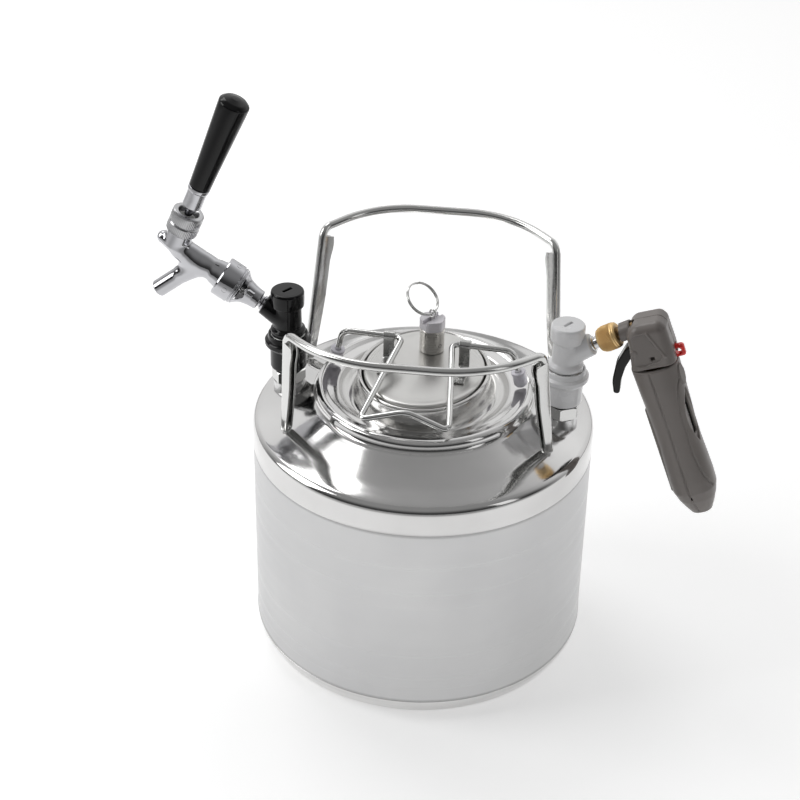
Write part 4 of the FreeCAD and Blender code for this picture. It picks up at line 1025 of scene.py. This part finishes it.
# ---- studio ----
def room():
    """Pale backdrop behind the keg, darker room in front, a grey ceiling."""
    world = bpy.data.worlds.new("studio")
    bpy.context.scene.world = world
    world.use_nodes = True
    tree = world.node_tree
    coord = node(tree, "TexCoord")
    split = node(tree, "SeparateXYZ")
    tree.links.new(coord.outputs["Generated"], split.inputs[0])
    y, z = split.outputs["Y"], split.outputs["Z"]
    sides, above = level(tree, y, 0.0, WORLD_BACK, -0.15, 0.70), level(tree, z, 1.0, 0.25, 0.55, 0.95)
    backdrop = maths(tree, sides, above, "MULTIPLY")
    ceiling = level(tree, z, WORLD_LOW, WORLD_TOP, 0.15, 0.85)
    back = tree.nodes["Background"]
    tree.links.new(maths(tree, backdrop, ceiling), back.inputs["Color"])


def studio():
    """Floor with a painted pool of light round the keg, made of lighter colour and glowing emission, and three
    soft lamps.
    """
    floor_mat, tree, bsdf, coord = start("floor_painted_light_pool")
    link = tree.links.new
    shift = node(tree, "Mapping")
    shift.inputs["Location"].default_value = PAINTED_POOL_SHIFT
    shift.inputs["Scale"].default_value = PAINTED_POOL_SCALE
    reach = node(tree, "VectorMath", operation="LENGTH")
    link(coord, shift.inputs[0])
    link(shift.outputs[0], reach.inputs[0])
    # Painted pool of light: 0 inside the pool, 1 outside, where the floor is darker and glows less.
    outside_painted_pool = level(tree, reach.outputs["Value"], 0.0, 1.0, PAINTED_POOL_EDGE, PAINTED_POOL_END)
    link(tint(tree, outside_painted_pool, (0.92,) * 3, (FLOOR_PAINTED_SHADE,) * 3), bsdf.inputs["Base Color"])
    bsdf.inputs["Roughness"].default_value = 0.9
    # The floor glows though it is no lamp: painted light, strongest in the pool.
    bsdf.inputs["Emission Color"].default_value = (1, 1, 1, 1)
    link(spread(tree, outside_painted_pool, PAINTED_GLOW_NEAR, PAINTED_GLOW_FAR, 0.0, 1.0), bsdf.inputs["Emission Strength"])
    bpy.ops.mesh.primitive_circle_add(vertices=96, radius=9.0, fill_type="NGON", location=(0, 0, -0.0002))
    floor = bpy.context.active_object
    floor.name = "floor"
    floor.data.materials.append(floor_mat)
    room()
    for name, place, size, power in LAMPS:
        light = bpy.data.lights.new(name, "AREA")
        light.shape = "RECTANGLE"
        light.size, light.size_y = size
        light.energy = power
        lamp = bpy.data.objects.new(name, light)
        lamp.location = place
        aim_at = Vector(LAMP_TARGET) - Vector(place)
        lamp.rotation_euler = aim_at.to_track_quat("-Z", "Y").to_euler()
        bpy.context.scene.collection.objects.link(lamp)


def camera():
    """Camera at the photograph's angle."""
    azimuth, elevation, roll = (math.radians(turn) for turn in (AZIMUTH, ELEVATION, ROLL))
    reach = math.cos(elevation)
    back = Vector((math.sin(azimuth) * reach, -math.cos(azimuth) * reach, math.sin(elevation)))
    right = Vector((math.cos(azimuth), math.sin(azimuth), 0))
    up = back.cross(right)
    x = right * math.cos(roll) + up * math.sin(roll)
    y = up * math.cos(roll) - right * math.sin(roll)
    data = bpy.data.cameras.new("photo_view")
    data.lens, data.sensor_width = LENS, SENSOR
    data.clip_start, data.clip_end = 0.05, 60.0
    cam = bpy.data.objects.new("photo_view", data)
    bpy.context.scene.collection.objects.link(cam)
    target = Vector(TARGET) * MM
    spin = Matrix((x, y, back)).transposed().to_4x4()
    cam.matrix_world = Matrix.Translation(target + back * DISTANCE) @ spin
    bpy.context.scene.camera = cam
    bpy.context.scene.view_settings.view_transform = "Standard"


camera()
studio()
vessel()
handle("front_handle", -1, 42.1, 63.6, 97.0, 258.0)
handle("rear_handle", 1, 42.6, 75.0, 105.5, 258.0)
lid()
bail()
relief_valve()
disconnect(-1, "liquid", BLACK, CHROME)
disconnect(1, "gas", GREY, FLARE)
faucet()
charger_metal()
charger_head()
grip_sleeve()
trigger_blade()
latch_loop()
carried_over()
